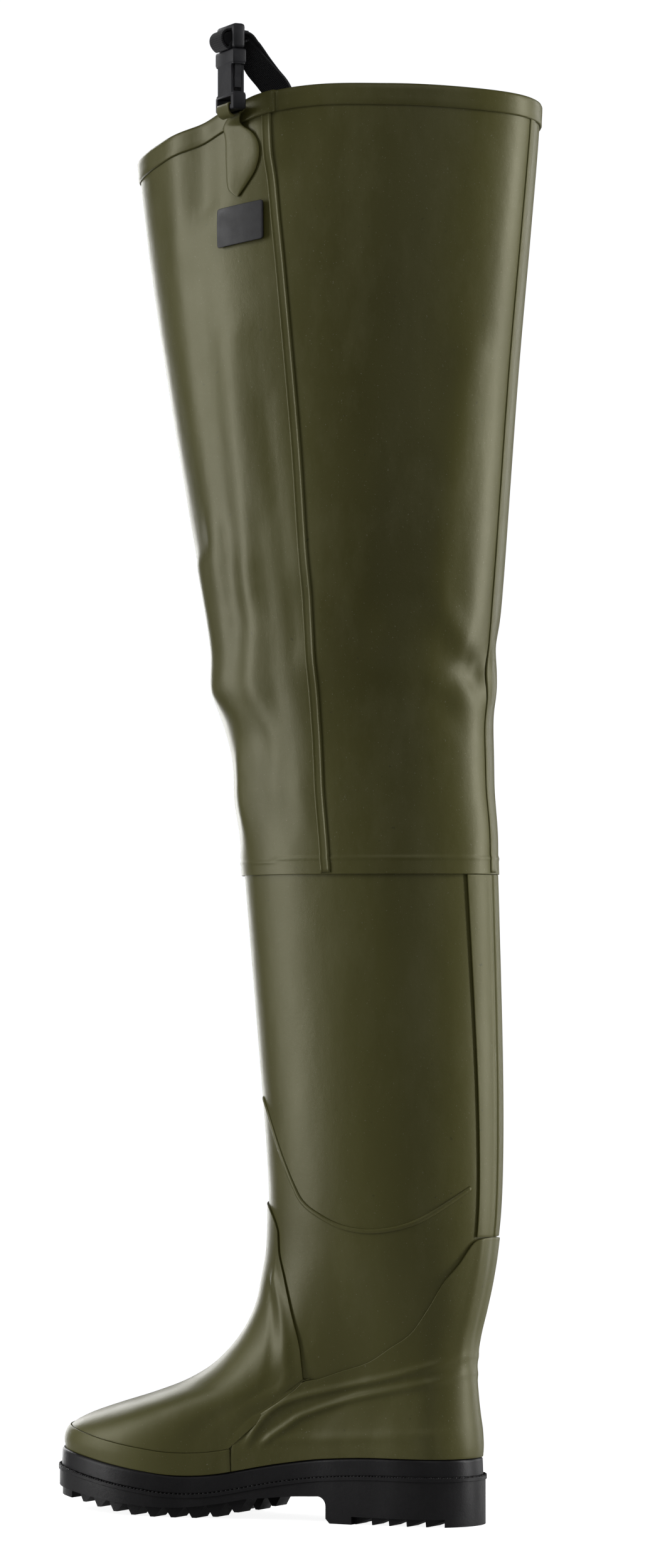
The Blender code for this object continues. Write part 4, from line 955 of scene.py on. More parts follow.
def stay_spot(v, u):
    level = STAY_FOOT + (STAY_TOP - STAY_FOOT) * v
    width = STAY_FOOT_WIDTH + (STAY_WIDTH - STAY_FOOT_WIDTH) * v
    y = width / 2 * (1 - 2 * u)
    groove = math.exp(-(y / (STAY_GROOVE * 0.6)) ** 4)
    swell = 0.35 * MM * math.exp(-((abs(y) - STAY_GROOVE * 1.1) / (1.2 * MM)) ** 2)
    return boot_skin(level, turn_behind(y, level), GAP + STAY_THICKNESS * (1 - 0.85 * groove) + swell)


stay_bm = grid_skin(120, 64, stay_spot)
finished("back_strip", stay_bm, patch_rubber, ("back_stay",), 0.9 * MM, 0.25 * MM)

# %% [markdown]
# Beads and seams are long low ridges. Each is a narrow grid that follows a line on the skin: the
# line gives the place, and a rounded section across it gives the relief.

# %% Ridges along a line
def line_grid(points, surface, section, rows, widths):
    """A strip along points (turn, level); section gives lift over the skin across its width."""
    last = len(points) - 1

    def spot(v, u):
        k = min(int(v * last), last - 1)
        turn, level = [a + (b - a) * (v * last - k) for a, b in zip(points[k], points[k + 1])]
        before, after = points[max(k - 1, 0)], points[min(k + 2, last)]
        ahead_way = (surface(after[1], after[0]) - surface(before[1], before[0])).normalized()
        p = surface(level, turn)
        normal = surface_normal(surface, level, turn)
        side = ahead_way.cross(normal).normalized()
        return p + side * (2 * u - 1) * widths / 2 + normal * section(2 * u - 1)

    return grid_skin(rows, 12, spot)


PIPING_LINE = rows_of(LinePoint, (
    (-0.33, 0.545), (-0.166, 0.482), (-0.050, 0.452), (0.088, 0.440), (0.211, 0.445), (0.311, 0.461),
    (0.393, 0.482), (0.440, 0.510), (0.493, 0.548), (0.598, 0.624), (0.760, 0.690),
))
PIPING_WIDTH = 3.4 * MM
PIPING_RELIEF = 0.9 * MM
PIPING_FRONT = 0.62                  # where it ends in front, as a share of the shank's length


def piping_points(inner):
    """The bead's line from the back strip to the front, as turns and heights."""
    points = []
    for k in range(121):
        share = PIPING_LINE[0].along + (PIPING_FRONT - PIPING_LINE[0].along) * k / 120
        level = BOOT_HEIGHT * table_value(PIPING_LINE, "along", "height", share)
        cut = cut_at(level)
        x = held(share * SHANK_LENGTH, cut.back, cut.front)
        turn = turn_at(x, level, inner)
        p = boot_point(level, turn)
        if abs(p.y) > STAY_WIDTH / 2 - 2 * MM or p.x > 0:
            if not points or abs(turn - points[-1][0]) > 1e-4 or abs(level - points[-1][1]) > 1e-5:
                points.append((turn, level))
    return points


def bead_section(s):
    return PIPING_RELIEF * 1.25 * math.sqrt(max(1 - s * s, 0.0)) - 0.1 * MM


for name, inner, nodes in (("leg_bead", False, ("leg_piping",)), ("leg_bead_inner", True, ())):
    bead = line_grid(piping_points(inner), boot_skin, bead_section, 160, PIPING_WIDTH)
    if inner:
        bmesh.ops.reverse_faces(bead, faces=bead.faces)
    finished(name, bead, boot_rubber, nodes, 0.5 * MM)

# %% Side seam and rear seam of the thigh leg
SIDE_SEAM_LINE = rows_of(LinePoint, (
    (0.158, -0.02), (0.172, 0.08), (0.176, 0.18), (0.182, 0.25), (0.190, 0.34), (0.198, 0.42),
    (0.208, 0.54), (0.222, 0.65), (0.242, 0.78), (0.256, 0.86), (0.268, 0.95), (0.270, 1.05),
))
BINDING_HEIGHT = 12.5 * MM
SEAM_WIDTH = 8 * MM
SEAM_RELIEF = 0.8 * MM


def seam_shares():
    """Heights of a seam's points, from the hem to just under the binding's edge."""
    foot = 0.002
    top = 1 - (BINDING_HEIGHT - 2 * MM) / (COLLAR_HEIGHT - HEM)
    return [foot + (top - foot) * k / 160 for k in range(161)]


def seam_points():
    points = []
    for share in seam_shares():
        x = COLLAR_LENGTH * table_value(SIDE_SEAM_LINE, "height", "along", share)
        middle, reach, half, z = thigh_base(share, math.pi / 2)
        points.append((math.acos(held((x - middle) / reach, -1.0, 1.0)), share))
    return points


def seam_section(s):
    """Flat strip with a raised line near each edge."""
    flat = SEAM_RELIEF * (1 - abs(s) ** 10)
    lines = 0.45 * MM * (math.exp(-((abs(s) - 0.70) / 0.16) ** 2))
    return flat + lines - 0.15 * MM


side_seam = line_grid(seam_points(), thigh_point, seam_section, 200, SEAM_WIDTH)
finished("side_seam_strip", side_seam, leg_rubber, ("side_seam",), 0.5 * MM)
rear_points = [(math.pi, share) for share in seam_shares()]
rear_seam = line_grid(rear_points, thigh_point, lambda s: SEAM_RELIEF * (1 - abs(s) ** 6), 200, 7 * MM)
finished("rear_seam_strip", rear_seam, leg_rubber, ("rear_seam",), 0.5 * MM)

# %% [markdown]
# The collar is bound with a band folded over the rim. Its section is drawn as a closed loop round
# the rim: down the outside, over the top with a rounded shoulder, and down the inside.

# %% Binding of the collar
SectionPoint = namedtuple("SectionPoint", "away down")
BINDING = rows_of(SectionPoint, (
    (0.35, 12.6), (1.1, 12.4), (1.5, 11.6), (1.4, 8.0), (1.4, 3.0), (1.3, 0.4), (0.7, -0.9),
    (-0.2, -1.35), (-1.2, -1.35), (-2.1, -0.9), (-2.7, 0.4), (-2.8, 3.0), (-2.8, 11.8), (-2.4, 12.5),
    (-1.75, 12.6), (-1.75, 1.0), (-1.4, 0.3), (-0.1, 0.2), (0.35, 1.0), (0.35, 12.6),
))


LAP_END = 88.6                       # where the band's outer end lies over its inner end, in degrees


def binding_spot(v, u):
    row = BINDING[round(v * (len(BINDING) - 1))]
    turn = 2 * math.pi * u
    tall = rim_height(turn) - HEM
    share = 1 - row.down * MM / tall
    low = thigh_point(min(share, 1.0), turn)
    ahead_way = thigh_point(1.0, turn + TURN_STEP) - thigh_point(1.0, turn - TURN_STEP)
    outwards = Vector((ahead_way.y, -ahead_way.x, 0.0)).normalized()
    over = max(share - 1.0, 0.0) * tall
    degrees = math.degrees(turn)
    lap = 1.2 * MM * ease(72, 84, degrees) * (1 - ease(LAP_END - 0.4, LAP_END + 0.4, degrees))
    away = row.away * MM + (lap if row.away > 0.5 else 0.0)
    return low + outwards * away + Vector((0, 0, over + (lap * 0.6 if over else 0.0)))


binding_bm = grid_skin(len(BINDING) - 1, 400, binding_spot, closed=True)
bmesh.ops.reverse_faces(binding_bm, faces=binding_bm.faces)
bmesh.ops.recalc_face_normals(binding_bm, faces=binding_bm.faces)
finished("collar_band", binding_bm, leg_rubber, ("collar_binding",))

band_share = 12.4 * MM / (rim_height(math.radians(LAP_END)) - HEM)
end_points = [(math.radians(LAP_END), 1 - band_share * (1 - k / 20)) for k in range(21)]
band_end = line_grid(end_points, thigh_point, lambda s: 1.5 * MM + 1.1 * MM * (1 - s * s), 24, 2.4 * MM)
finished("collar_band_end", band_end, leg_rubber, (), 0.6 * MM)

# %% [markdown]
# The sole is moulded in one piece. A band of smooth rubber rises to the upper, a lip with a rough
# beaded edge runs round it, and the lugs hang below, set back behind the side wall.

# %% Outlines cut from slabs
LUG_INSET = 5 * MM
LUG_ROW = 15 * MM
LIP_PROUD = 0.8 * MM
LIP_THICKNESS = 2.4 * MM
FOXING_INSET = 2.2 * MM
FOXING_ROUND = 0.14                  # share of the band's height that rounds over at its top
BEYOND = 5 * MM
BACK = at_share(0.0) - BEYOND
FRONT = at_share(1.0) + BEYOND
HEEL_LENGTH = 94 * MM
BREAST = at_share(0.0) + HEEL_LENGTH
WALL_LIFT = 2.2 * MM
FORE_LUG_PITCH = 14 * MM
FORE_LUG_TIP = 3 * MM
FORE_LUG_START = 0.485
FORE_LUGS = 9
HEEL_LUG_PITCH = 12.4 * MM
HEEL_LUG_DEPTH = 5 * MM
HEEL_LUGS = 5


def drawn(points, step):
    """A flat outline of points, drawn out by a step into a closed slab."""
    bm = bmesh.new()
    face = bm.faces.new([bm.verts.new(p) for p in points])
    made = bmesh.ops.extrude_face_region(bm, geom=[face])
    moved = [v for v in made["geom"] if isinstance(v, bmesh.types.BMVert)]
    bmesh.ops.translate(bm, verts=moved, vec=step)
    bmesh.ops.recalc_face_normals(bm, faces=bm.faces)
    return bm


def evaluated_mesh(made):
    """The object's mesh with its modifiers applied, and the object removed."""
    bpy.context.view_layer.update()
    depsgraph = bpy.context.evaluated_depsgraph_get()
    mesh = bpy.data.meshes.new_from_object(made.evaluated_get(depsgraph))
    bpy.data.objects.remove(made)
    return mesh


def cut_from(bm, tool_bm, operation="INTERSECT"):
    """The bmesh cut by another with an exact Boolean."""
    body = placed("cut_body", mesh_of("cut_body", bm))
    tool = placed("cut_tool", mesh_of("cut_tool", tool_bm))
    knife = body.modifiers.new("cut", "BOOLEAN")
    knife.operation = operation
    knife.solver = "EXACT"
    knife.object = tool
    mesh = evaluated_mesh(body)
    bpy.data.objects.remove(tool)
    result = bmesh.new()
    result.from_mesh(mesh)
    bpy.data.meshes.remove(mesh)
    return result


def sole_outline(inset):
    """An upright slab with the sole's outline, from below the floor to above the lip."""
    count = 150
    below = Vector((0, 0, -10 * MM))
    points = [outline_point(2 * math.pi * k / count, inset) + below for k in range(count)]
    return drawn(points, Vector((0, 0, 90 * MM)))


def side_slab(lower, upper):
    points = [Vector((x, -BALL_WIDTH, z)) for x, z in list(lower) + list(reversed(upper))]
    return drawn(points, Vector((0, 2 * BALL_WIDTH, 0)))


def spread(start, end, count):
    return [start + (end - start) * k / (count - 1) for k in range(count)]


def side_line(name, start, end, count, shift=0.0):
    """A line of the sole's side view as points (x, height)."""
    return [(x, side_height(x, name) + shift) for x in spread(start, end, count)]


def lip_line(shift):
    return side_line("lip", BACK, FRONT, 60, shift)


def sole_slab(lower, upper, inset):
    """The slab between two lines in side view, trimmed to the sole's outline."""
    return cut_from(side_slab(lower, upper), sole_outline(inset))


def lug_row(lower, upper):
    """Lugs that stand only in a row along the sole's edge."""
    return cut_from(sole_slab(lower, upper, LUG_INSET), sole_outline(LUG_INSET + LUG_ROW), "DIFFERENCE")


# %% Side wall, heel blocks and arch
def heel_line():
    cavity_front = BREAST - 19 * MM
    cavity_back = cavity_front - HEEL_LUGS * HEEL_LUG_PITCH
    line = [(BACK, 0.0), (cavity_back, 0.0), (cavity_back, HEEL_LUG_DEPTH), (cavity_front, HEEL_LUG_DEPTH),
            (cavity_front, 0.0), (BREAST - 3 * MM, 0.0), (BREAST, 3 * MM)]
    rounding = 6 * MM
    crown = side_height(BREAST, "wall")
    for k in range(9):
        angle = math.pi / 2 * k / 8
        line.append((BREAST + rounding * (1 - math.cos(angle)), crown - rounding * (1 - math.sin(angle))))
    for x in spread(BREAST + 2 * rounding, FRONT, 44):
        lift = WALL_LIFT * ease(at_share(0.42), at_share(0.50), x)
        line.append((x, side_height(x, "wall") + lift))
    return line, cavity_back


wall_line, cavity_back = heel_line()
side_wall = sole_slab(wall_line, lip_line(-LIP_THICKNESS), LIP_PROUD)
finished("sole_side", side_wall, sole_black, ("outsole",), edge=0.5 * MM)

# %% Lip and smooth band
lip = sole_slab(lip_line(-LIP_THICKNESS), lip_line(0.0), 0.0)
finished("sole_lip", lip, sole_black, (), edge=0.8 * MM)


def foxing_spot(v, u):
    """The smooth band leans in a little from the lip to the upper, with a rounded top."""
    turn = 2 * math.pi * u
    rounding = max(v - (1 - FOXING_ROUND), 0.0) / FOXING_ROUND
    lean = FOXING_INSET + 0.5 * MM * v + 1.2 * MM * rounding
    p = outline_point(turn, lean)
    p.z = side_height(p.x, "lip") + GAP / 2 + (FOXING_HEIGHT + 0.4 * MM) * v
    return p


foxing = grid_skin(14, 200, foxing_spot, closed=True)
finished("sole_band", foxing, sole_black, ("foxing",), 3 * MM)

# %% [markdown]
# The bead on the lip looks stitched: a rough cord of rubber pressed into the corner between the
# lip and the band. Hundreds of small knots would be slow to model by hand, so one knot with a few
# dozen faces is repeated along the outline, each turned a little differently.

# %% Beaded edge on the lip
BEAD_COUNT = 330
bead_bm = bmesh.new()
for k in range(BEAD_COUNT):
    turn = 2 * math.pi * k / BEAD_COUNT
    p = outline_point(turn, 0.9 * MM + 0.12 * MM * math.sin(k * 2.4))
    p.z = side_height(p.x, "lip") + 0.15 * MM
    ahead_way = outline_point(turn + 0.01) - outline_point(turn - 0.01)
    spin = Matrix.Rotation(math.atan2(ahead_way.y, ahead_way.x) + 0.5, 4, "Z")
    size = 1.0 + 0.2 * math.sin(k * 1.7)
    shape = Matrix.Diagonal((1.25 * MM * size, 0.75 * MM, 0.75 * MM * size, 1.0))
    place_on = Matrix.Translation(p) @ spin @ shape
    bmesh.ops.create_icosphere(bead_bm, subdivisions=1, radius=1.0, matrix=place_on)
finished("sole_bead", bead_bm, sole_black, ())

# %% Lugs under the forefoot and the heel
def fore_lugs():
    line = []
    for k in range(FORE_LUGS + 1):
        x = at_share(FORE_LUG_START) + k * FORE_LUG_PITCH
        tip = x + 0.55 * FORE_LUG_PITCH
        line.append((x, side_height(x, "wall") + 1.0 * MM + 0.9 * WALL_LIFT))
        if k < FORE_LUGS:
            low = max(side_height(tip, "lug"), 0.0)
            line.append((tip - FORE_LUG_TIP / 2, low))
            line.append((tip + FORE_LUG_TIP / 2, low))
    return line


teeth = fore_lugs()
above = side_line("wall", teeth[0][0], teeth[-1][0], 20, 3 * MM + WALL_LIFT)
finished("forefoot_lugs", lug_row(teeth, above), sole_black, (), edge=0.35 * MM)

toe_start = teeth[-1][0] + 6 * MM
toe_upper = side_line("wall", toe_start, FRONT, 8, 2 * MM)
toe_lug = sole_slab(side_line("lug", toe_start, FRONT, 8), toe_upper, LIP_PROUD + 2 * MM)
finished("toe_lug", toe_lug, sole_black, (), edge=0.4 * MM)

heel_teeth = []
for k in range(HEEL_LUGS):
    x = cavity_back + k * HEEL_LUG_PITCH
    heel_teeth.append((x, HEEL_LUG_DEPTH * 0.9))
    heel_teeth += [(x + share * HEEL_LUG_PITCH, 0.0) for share in (0.9, 0.97)]
heel_teeth.append((cavity_back + HEEL_LUGS * HEEL_LUG_PITCH, HEEL_LUG_DEPTH * 0.9))
heel_roof = [(x, HEEL_LUG_DEPTH + 1 * MM) for x in (heel_teeth[0][0], heel_teeth[-1][0])]
finished("heel_lugs", lug_row(heel_teeth, heel_roof), sole_black, (), edge=0.3 * MM)

# %% [markdown]
# The badge is a small rubber plate glued to the leg. It follows the leg's curve, has rounded
# corners and a thin raised frame line, and its face is left plain.

# %% Badge
BADGE_TURN = math.radians(72.7)
BADGE_DROP = 72 * MM
BADGE_WIDTH = 36 * MM
BADGE_HEIGHT = 25 * MM
BADGE_LEAN = 4 * MM
BADGE_THICKNESS = 1.2 * MM
LEG_SLANT = 0.16                     # how far the leg's front half runs back for each length down
rim_spot = thigh_point(1.0, BADGE_TURN)
badge_middle = Vector((rim_spot.x - LEG_SLANT * BADGE_DROP, 0.0, rim_spot.z - BADGE_DROP - BADGE_LEAN / 2))


def on_leg(x, z, lift):
    """The leg's outer side at a place in side view, moved outwards by lift."""
    turn = math.radians(80.0)
    for improving in range(6):
        share = (z - HEM) / (rim_height(turn) - HEM)
        middle, reach, half, level = thigh_base(share, turn)
        turn = math.acos(held((x - middle) / reach, -1.0, 1.0))
    share = (z - HEM) / (rim_height(turn) - HEM)
    return thigh_point(share, turn) + surface_normal(thigh_point, share, turn) * lift


def badge_spot(inset, lift, corner):
    """Point function of a plate with rounded corners, inset from the badge's edge."""
    half_x = BADGE_WIDTH / 2 - inset
    half_z = BADGE_HEIGHT / 2 - inset

    def spot(v, u):
        sx = 2 * u - 1
        sz = 2 * v - 1
        over_x = max(abs(sx) * half_x - (half_x - corner), 0.0)
        over_z = max(abs(sz) * half_z - (half_z - corner), 0.0)
        reach = math.hypot(over_x, over_z)
        pull = corner / reach if reach > corner else 1.0
        x = math.copysign(min(abs(sx) * half_x, half_x - corner) + over_x * pull, sx)
        z = math.copysign(min(abs(sz) * half_z, half_z - corner) + over_z * pull, sz)
        lean = -BADGE_LEAN / BADGE_WIDTH * x
        return on_leg(badge_middle.x + x, badge_middle.z + z + lean, lift)

    return spot


badge = grid_skin(24, 24, badge_spot(0.0, GAP + BADGE_THICKNESS, 1.8 * MM))
finished("badge_plate", badge, badge_face, ("badge",), BADGE_THICKNESS, 0.3 * MM)

line_outer = badge_spot(1.9 * MM, GAP + BADGE_THICKNESS + 0.12 * MM, 0.9 * MM)
LINE_WIDTH = 0.55 * MM


def frame_line_spot(v, u):
    """A thin closed line round the plate, walked side by side."""
    walk = (u % 1.0) * 4
    side = int(walk)
    corners = ((0, 0), (0, 1), (1, 1), (1, 0), (0, 0))
    shrink = v * LINE_WIDTH / (BADGE_WIDTH / 2)
    share = [a + (b - a) * (walk - side) for a, b in zip(corners[side], corners[side + 1])]
    return line_outer(*[0.5 + (value - 0.5) * (1 - shrink) for value in share])


badge_frame = grid_skin(1, 96, frame_line_spot, closed=True)
finished("badge_frame_line", badge_frame, badge_line, (), 0.2 * MM)

# %% [markdown]
# The buckle hangs outside the collar. A local frame gives its place: X along its width to the
# front, Y out of its face and Z up. The tab is one sheet: a leaf on the leg, and a neck that
# leaves the leg and folds round the buckle's lowest bar.

# %% Place of the buckle
TAB_TURN = math.radians(74.0)
TAB_LENGTH = 57 * MM
TAB_WIDTH = 21 * MM
TAB_THICKNESS = 1.3 * MM
LOOP_WIDTH = 18 * MM
BUCKLE_TURN = math.radians(37.0)
BUCKLE_DROP = 4 * MM
BUCKLE_WIDTH = 28 * MM
BUCKLE_DEPTH = 9 * MM
FEMALE_LENGTH = 39 * MM
MALE_LENGTH = 16 * MM
WEBBING_WIDTH = 19 * MM


def rim_place(turn):
    """The rim's outside without the folds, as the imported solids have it."""
    middle, reach, half, z = thigh_base(1.0, turn)
    return Vector((middle + reach * math.cos(turn), half * math.sin(turn), z))


def node_box(name):
    """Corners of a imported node's box."""
    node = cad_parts[name]
    corners = [node.matrix_world @ Vector(corner) for corner in node.bound_box]
    low = Vector([min(c[i] for c in corners) for i in range(3)])
    high = Vector([max(c[i] for c in corners) for i in range(3)])
    return low, high


female_low, female_high = node_box("buckle_female")
buckle_foot = (female_low + female_high) / 2
buckle_foot.z = female_low.z
BUCKLE = Matrix.Translation(buckle_foot) @ Matrix.Rotation(-BUCKLE_TURN, 4, "Z")
print("buckle stands at", tuple(round(v, 4) for v in buckle_foot))

# %% Leaf of the tab
LeafRow = namedtuple("LeafRow", "down front back")
LEAF = rows_of(LeafRow, (
    (0.00, 0.34, 0.36), (0.18, 0.29, 0.42), (0.29, 0.30, 0.80), (0.42, 0.34, 0.97), (0.56, 0.40, 0.94),
    (0.72, 0.45, 0.68), (0.86, 0.48, 0.30), (0.93, 0.42, 0.10), (1.00, 0.18, -0.10),
))
tab_rim = rim_place(TAB_TURN)
LEAF_TOP = BUCKLE_DROP / TAB_LENGTH


def leaf_spot(v, u):
    down = LEAF_TOP + (1 - LEAF_TOP) * v
    front = table_value(LEAF, "down", "front", down) * TAB_WIDTH
    back = table_value(LEAF, "down", "back", down) * TAB_WIDTH
    drop = down * TAB_LENGTH
    x = tab_rim.x - drop * LEG_SLANT - back + (front + back) * u
    over_binding = 1 - ease(BINDING_HEIGHT - 1 * MM, BINDING_HEIGHT + 9 * MM, drop)
    lift = GAP + TAB_THICKNESS + 1.5 * MM * over_binding
    edge = 0.5 * MM * abs(2 * u - 1) ** 6
    on_skin = on_leg(x, tab_rim.z - drop, lift - edge)
    neck = BUCKLE @ Vector(((u - 0.5) * LOOP_WIDTH, -2.5 * MM, BUCKLE_DROP - drop - 0.5 * MM))
    return on_skin.lerp(neck, 1 - ease(BUCKLE_DROP, BUCKLE_DROP + 9 * MM, drop))


leaf_bm = grid_skin(90, 22, leaf_spot)
bmesh.ops.recalc_face_normals(leaf_bm, faces=leaf_bm.faces)
if leaf_bm.faces[:][0].normal.y < 0:
    bmesh.ops.reverse_faces(leaf_bm, faces=leaf_bm.faces)
finished("leaf", leaf_bm, leg_rubber, ("strap_tab",), TAB_THICKNESS * 0.8, 0.3 * MM)

# %% Fold of the tab round the bar
FoldPoint = namedtuple("FoldPoint", "out up")
LOOP_PATH = rows_of(FoldPoint, (
    (1.2, -4.2), (3.2, -3.6), (4.9, -2.4), (5.8, -0.6), (6.1, 1.4), (6.0, 3.2), (5.2, 4.6), (3.4, 5.0),
    (0.0, 5.0), (-3.4, 5.0), (-5.2, 4.6), (-6.0, 3.2), (-6.1, 1.4), (-5.4, -0.4), (-3.6, -1.6),
    (-2.0, -2.4),
))


def round_a_bar(path, width, waist=0.0):
    """Point function of a sheet that follows a path in the buckle's frame; waist narrows its middle."""
    def spot(v, u):
        out, up = path_values(path, v)
        wide = width * (1.0 - waist * math.sin(math.pi * v))
        return BUCKLE @ Vector(((0.5 - u) * wide, out * MM, up * MM))
    return spot


fold_bm = grid_skin(60, 16, round_a_bar(LOOP_PATH, LOOP_WIDTH, 0.04))
finished("tab_fold", fold_bm, leg_rubber, ("tab_loop",), 1.1 * MM, 0.25 * MM)

# %% [markdown]
# Both halves of the buckle are moulded boxes: rounded blocks, joined and cut with Booleans, whose
# edges a bevel softens. The female half has a proud collar at its mouth and a rim at its foot,
# and its side windows show the curved arms of the male half.

# %% Buckle halves
def block(size, centre, edge=0.0, steps=3):
    bm = bmesh.new()
    bmesh.ops.create_cube(bm, size=1.0)
    bmesh.ops.scale(bm, vec=size, verts=bm.verts)
    if edge:
        bmesh.ops.bevel(bm, geom=bm.edges[:], offset=edge, segments=steps, profile=0.5, affect="EDGES")
    bmesh.ops.translate(bm, vec=centre, verts=bm.verts)
    return bm


def curved_arm(side, base, reach, thick):
    """A springy arm seen in the window: it bows outwards and ends in a catch."""
    outer = []
    inner = []
    for k in range(25):
        t = k / 24
        z = base - reach * t
        bow = 1.6 * MM * math.sin(math.pi * min(t * 1.15, 1.0)) + 1.0 * MM * ease(0.72, 0.86, t)
        middle = BUCKLE_WIDTH / 2 - 5.2 * MM + bow
        outer.append(Vector((side * (middle + 1.4 * MM), -thick / 2, z)))
        inner.append(Vector((side * (middle - 1.4 * MM), -thick / 2, z)))
    return drawn(outer + inner[::-1], Vector((0, thick, 0)))


def carved(body, *steps):
    """A body with others joined to it and cut from it, in the order of the steps."""
    for operation, tool in steps:
        body = cut_from(body, tool, operation)
    return body


def buckle_half(name, bm, node):
    bmesh.ops.transform(bm, matrix=BUCKLE, verts=bm.verts)
    finished(name, bm, plastic, (node,), edge=0.35 * MM)


MOUTH = 9.5 * MM                     # height of the proud collar at the mouth
FOOT_RIM = 10.5 * MM                 # height of the rim round the lower bar
WINDOW = 18.5 * MM                   # height of the side windows
SLOT_FRAME = 6.4 * MM                # what the male half keeps above and below its slot
THROUGH = 3 * BUCKLE_DEPTH           # depth of a tool that goes right through
SLOT_WIDTH = WEBBING_WIDTH + 2 * MM
ARM_DEPTH = BUCKLE_DEPTH - 4.6 * MM

shell = block((BUCKLE_WIDTH, BUCKLE_DEPTH, FEMALE_LENGTH), (0, 0, FEMALE_LENGTH / 2), 1.8 * MM)
mouth_place = (0, 0, FEMALE_LENGTH - MOUTH / 2)
mouth = block((BUCKLE_WIDTH + 0.5 * MM, BUCKLE_DEPTH + 0.7 * MM, MOUTH), mouth_place, 1.4 * MM)
foot_rim = block((BUCKLE_WIDTH + 0.3 * MM, BUCKLE_DEPTH + 0.4 * MM, FOOT_RIM), (0, 0, 5.3 * MM), 1.4 * MM)
bar_slot = block((SLOT_WIDTH, THROUGH, 5.5 * MM), (0, 0, 5.95 * MM), 0.6 * MM)
pocket_place = (0, 0, 12 * MM + FEMALE_LENGTH / 2)
pocket = block((BUCKLE_WIDTH - 5 * MM, BUCKLE_DEPTH - 3.4 * MM, FEMALE_LENGTH), pocket_place)
shell = carved(shell, ("UNION", mouth), ("UNION", foot_rim), ("DIFFERENCE", bar_slot))
for side in (-1, 1):
    window = block((7 * MM, THROUGH, WINDOW), (side * BUCKLE_WIDTH / 2, 0, 20.0 * MM), 1.2 * MM)
    shell = carved(shell, ("DIFFERENCE", window))
shell = carved(shell, ("DIFFERENCE", pocket))
buckle_half("female_half", shell, "buckle_female")

male_base = FEMALE_LENGTH + GAP
slot_height = MALE_LENGTH - SLOT_FRAME
male_middle = (0, 0, male_base + MALE_LENGTH / 2)
male = block((BUCKLE_WIDTH, BUCKLE_DEPTH - 0.6 * MM, MALE_LENGTH), male_middle, 2.2 * MM)
slot_middle = (0, 0, male_base + 3.4 * MM + slot_height / 2)
top_slot = block((SLOT_WIDTH, THROUGH, slot_height), slot_middle, 0.8 * MM)
bar_middle = (0, 0.8 * MM, male_base + 8.1 * MM)
middle_bar = block((WEBBING_WIDTH + 3 * MM, 4.4 * MM, 3.6 * MM), bar_middle, 0.8 * MM)
male = carved(male, ("DIFFERENCE", top_slot), ("UNION", middle_bar))
for side in (-1, 1):
    male = carved(male, ("UNION", curved_arm(side, male_base + 1 * MM, 26 * MM, ARM_DEPTH)))
tongue = block((5 * MM, ARM_DEPTH, 24 * MM), (0, 0, male_base - 10 * MM), 0.5 * MM)
male = carved(male, ("UNION", tongue))
buckle_half("male_half", male, "buckle_male")

# %% [markdown]
# The webbing comes up from inside the collar in two layers, runs to the back of the male half,
# goes through its slot and rolls over in front. Its path is a smooth curve through a few places,
# and its texture coordinates run along it in threads, so the weave turns with it.

# %% Strap
THREAD = 0.62 * MM
WEBBING_COLUMNS = 24
# middle of the doubled strap in millimetres, and the direction across its width
StrapPlace = namedtuple("StrapPlace", "x y z way_x way_y way_z")
STRAP_PLACES = rows_of(StrapPlace, (
    (97.6, 86.4, 950.6, 0.80, -0.60, 0.00), (93.2, 81.2, 949.4, 0.80, -0.60, -0.10),
    (90.4, 78.6, 942.6, 0.79, -0.45, -0.40), (85.6, 76.8, 934.0, 0.80, -0.25, -0.54),
    (78.8, 74.8, 924.8, 0.80, -0.20, -0.56), (72.0, 73.2, 915.4, 0.86, -0.05, -0.46),
    (68.4, 72.8, 902.8, 0.95, 0.00, -0.28), (66.4, 72.8, 891.2, 0.97, 0.00, -0.20),
))


def along_strap(t):
    """The strap's middle at t, the direction across it and the direction out of its face."""
    step = 0.02 / (len(STRAP_PLACES) - 1)
    values = [path_values(STRAP_PLACES, at) for at in (t, t + step, t - step)]
    here, there, back_there = [Vector(place[:3]) * MM for place in values]
    way = Vector(values[0][3:])
    ahead_way = (there - back_there).normalized()
    side = (way - ahead_way * way.dot(ahead_way)).normalized()
    return here, side, ahead_way.cross(side)


def strap_layer(shift, aside):
    """One layer; it lies beside the other at the buckle and over it at the collar."""
    def spot(v, u):
        here, side, up = along_strap(v)
        bulge = 0.18 * MM * (1 - (2 * u - 1) ** 4)
        across = (u - 0.5) * WEBBING_WIDTH + aside * (1 - ease(0.15, 0.65, v))
        return here + side * across + up * (shift + bulge)
    return spot


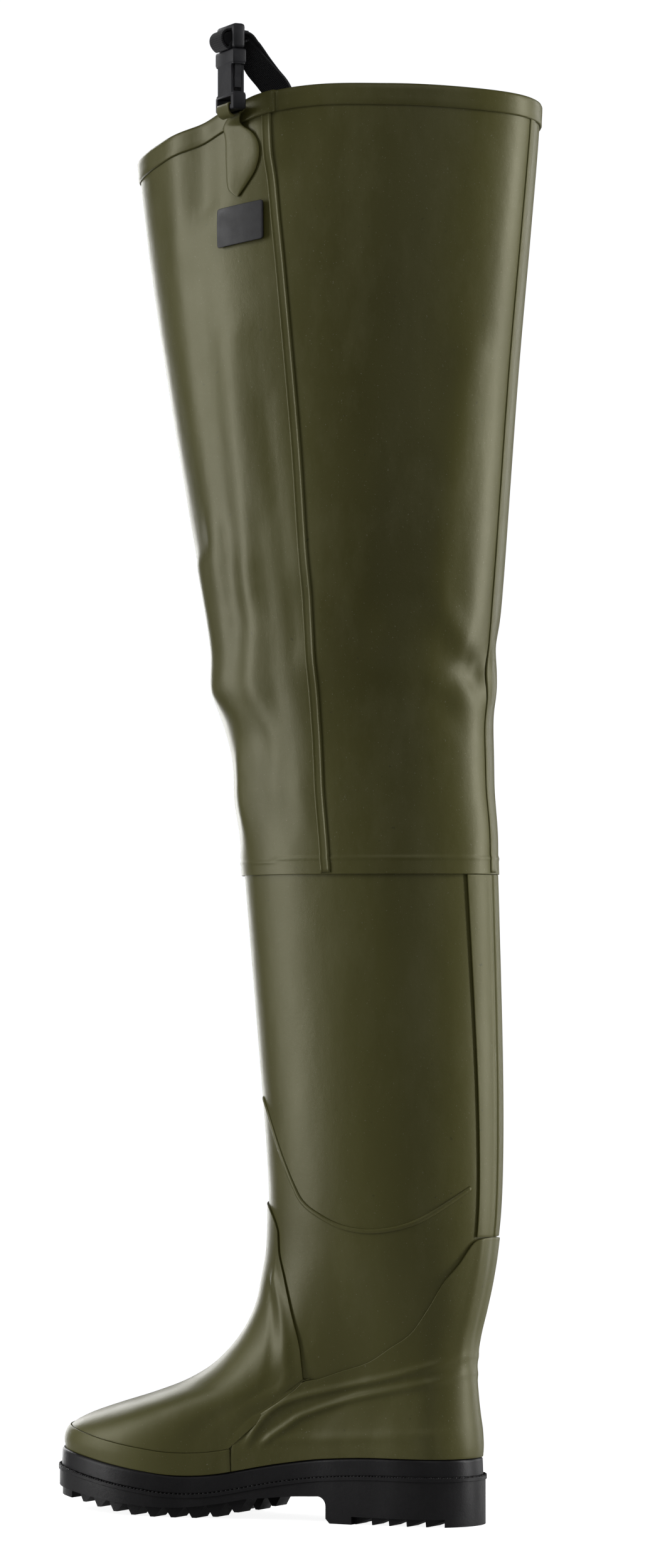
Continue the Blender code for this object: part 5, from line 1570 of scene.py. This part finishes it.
def webbing_skin(rows, length, spot):
    """A skin of webbing whose texture coordinates count threads across it and along it."""
    bm = grid_skin(rows, WEBBING_COLUMNS, spot)
    layer = bm.loops.layers.uv.new("UVMap")
    bm.verts.index_update()
    across = WEBBING_WIDTH / WEBBING_COLUMNS / THREAD / (2 * math.pi)
    down = length / rows / THREAD / (2 * math.pi)
    for face in bm.faces:
        for loop in face.loops:
            row, column = divmod(loop.vert.index, WEBBING_COLUMNS + 1)
            loop[layer].uv = (column * across, row * down)
    return bm


for name, shift, aside, nodes in (("strap_outer_layer", 1.55 * MM, -1.5 * MM, ("strap",)),
                                  ("strap_inner_layer", -0.05 * MM, 1.5 * MM, ())):
    layer_bm = webbing_skin(110, 105 * MM, strap_layer(shift, aside))
    finished(name, layer_bm, webbing, nodes, 1.35 * MM, 0.3 * MM)

ROLL = rows_of(FoldPoint, (
    (-8.4, 50.0), (-4.0, 50.4), (0.0, 50.6), (4.0, 50.9), (7.2, 50.2), (9.2, 48.0), (9.6, 45.2),
    (8.6, 42.6), (6.6, 40.4), (5.4, 40.2), (5.0, 42.0), (3.6, 43.9), (0.0, 44.2), (-4.0, 44.8),
    (-8.4, 46.0),
))


roll_bm = webbing_skin(60, 45 * MM, round_a_bar(ROLL, WEBBING_WIDTH))
finished("strap_roll", roll_bm, webbing, (), 1.3 * MM, 0.3 * MM)

CORE_MIDDLE = 46.2
CORE_SHARE = 0.86
core = []
for p in ROLL[3:12]:
    up = CORE_MIDDLE + (p.up - CORE_MIDDLE) * CORE_SHARE
    core.append(BUCKLE @ Vector((0.4 * MM - WEBBING_WIDTH / 2, p.out * CORE_SHARE * MM, up * MM)))
core_bm = drawn(core, BUCKLE.to_3x3() @ Vector((WEBBING_WIDTH - 0.8 * MM, 0, 0)))
finished("strap_roll_core", core_bm, webbing, (), edge=0.3 * MM)

# %% [markdown]
# The insole lies deep in the boot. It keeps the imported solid's shape and gets a felt finish.

# %% Insole finish
insole_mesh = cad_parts["insole"].data
insole_mesh.materials.clear()
insole_mesh.materials.append(felt)
print("insole:", felt.name)
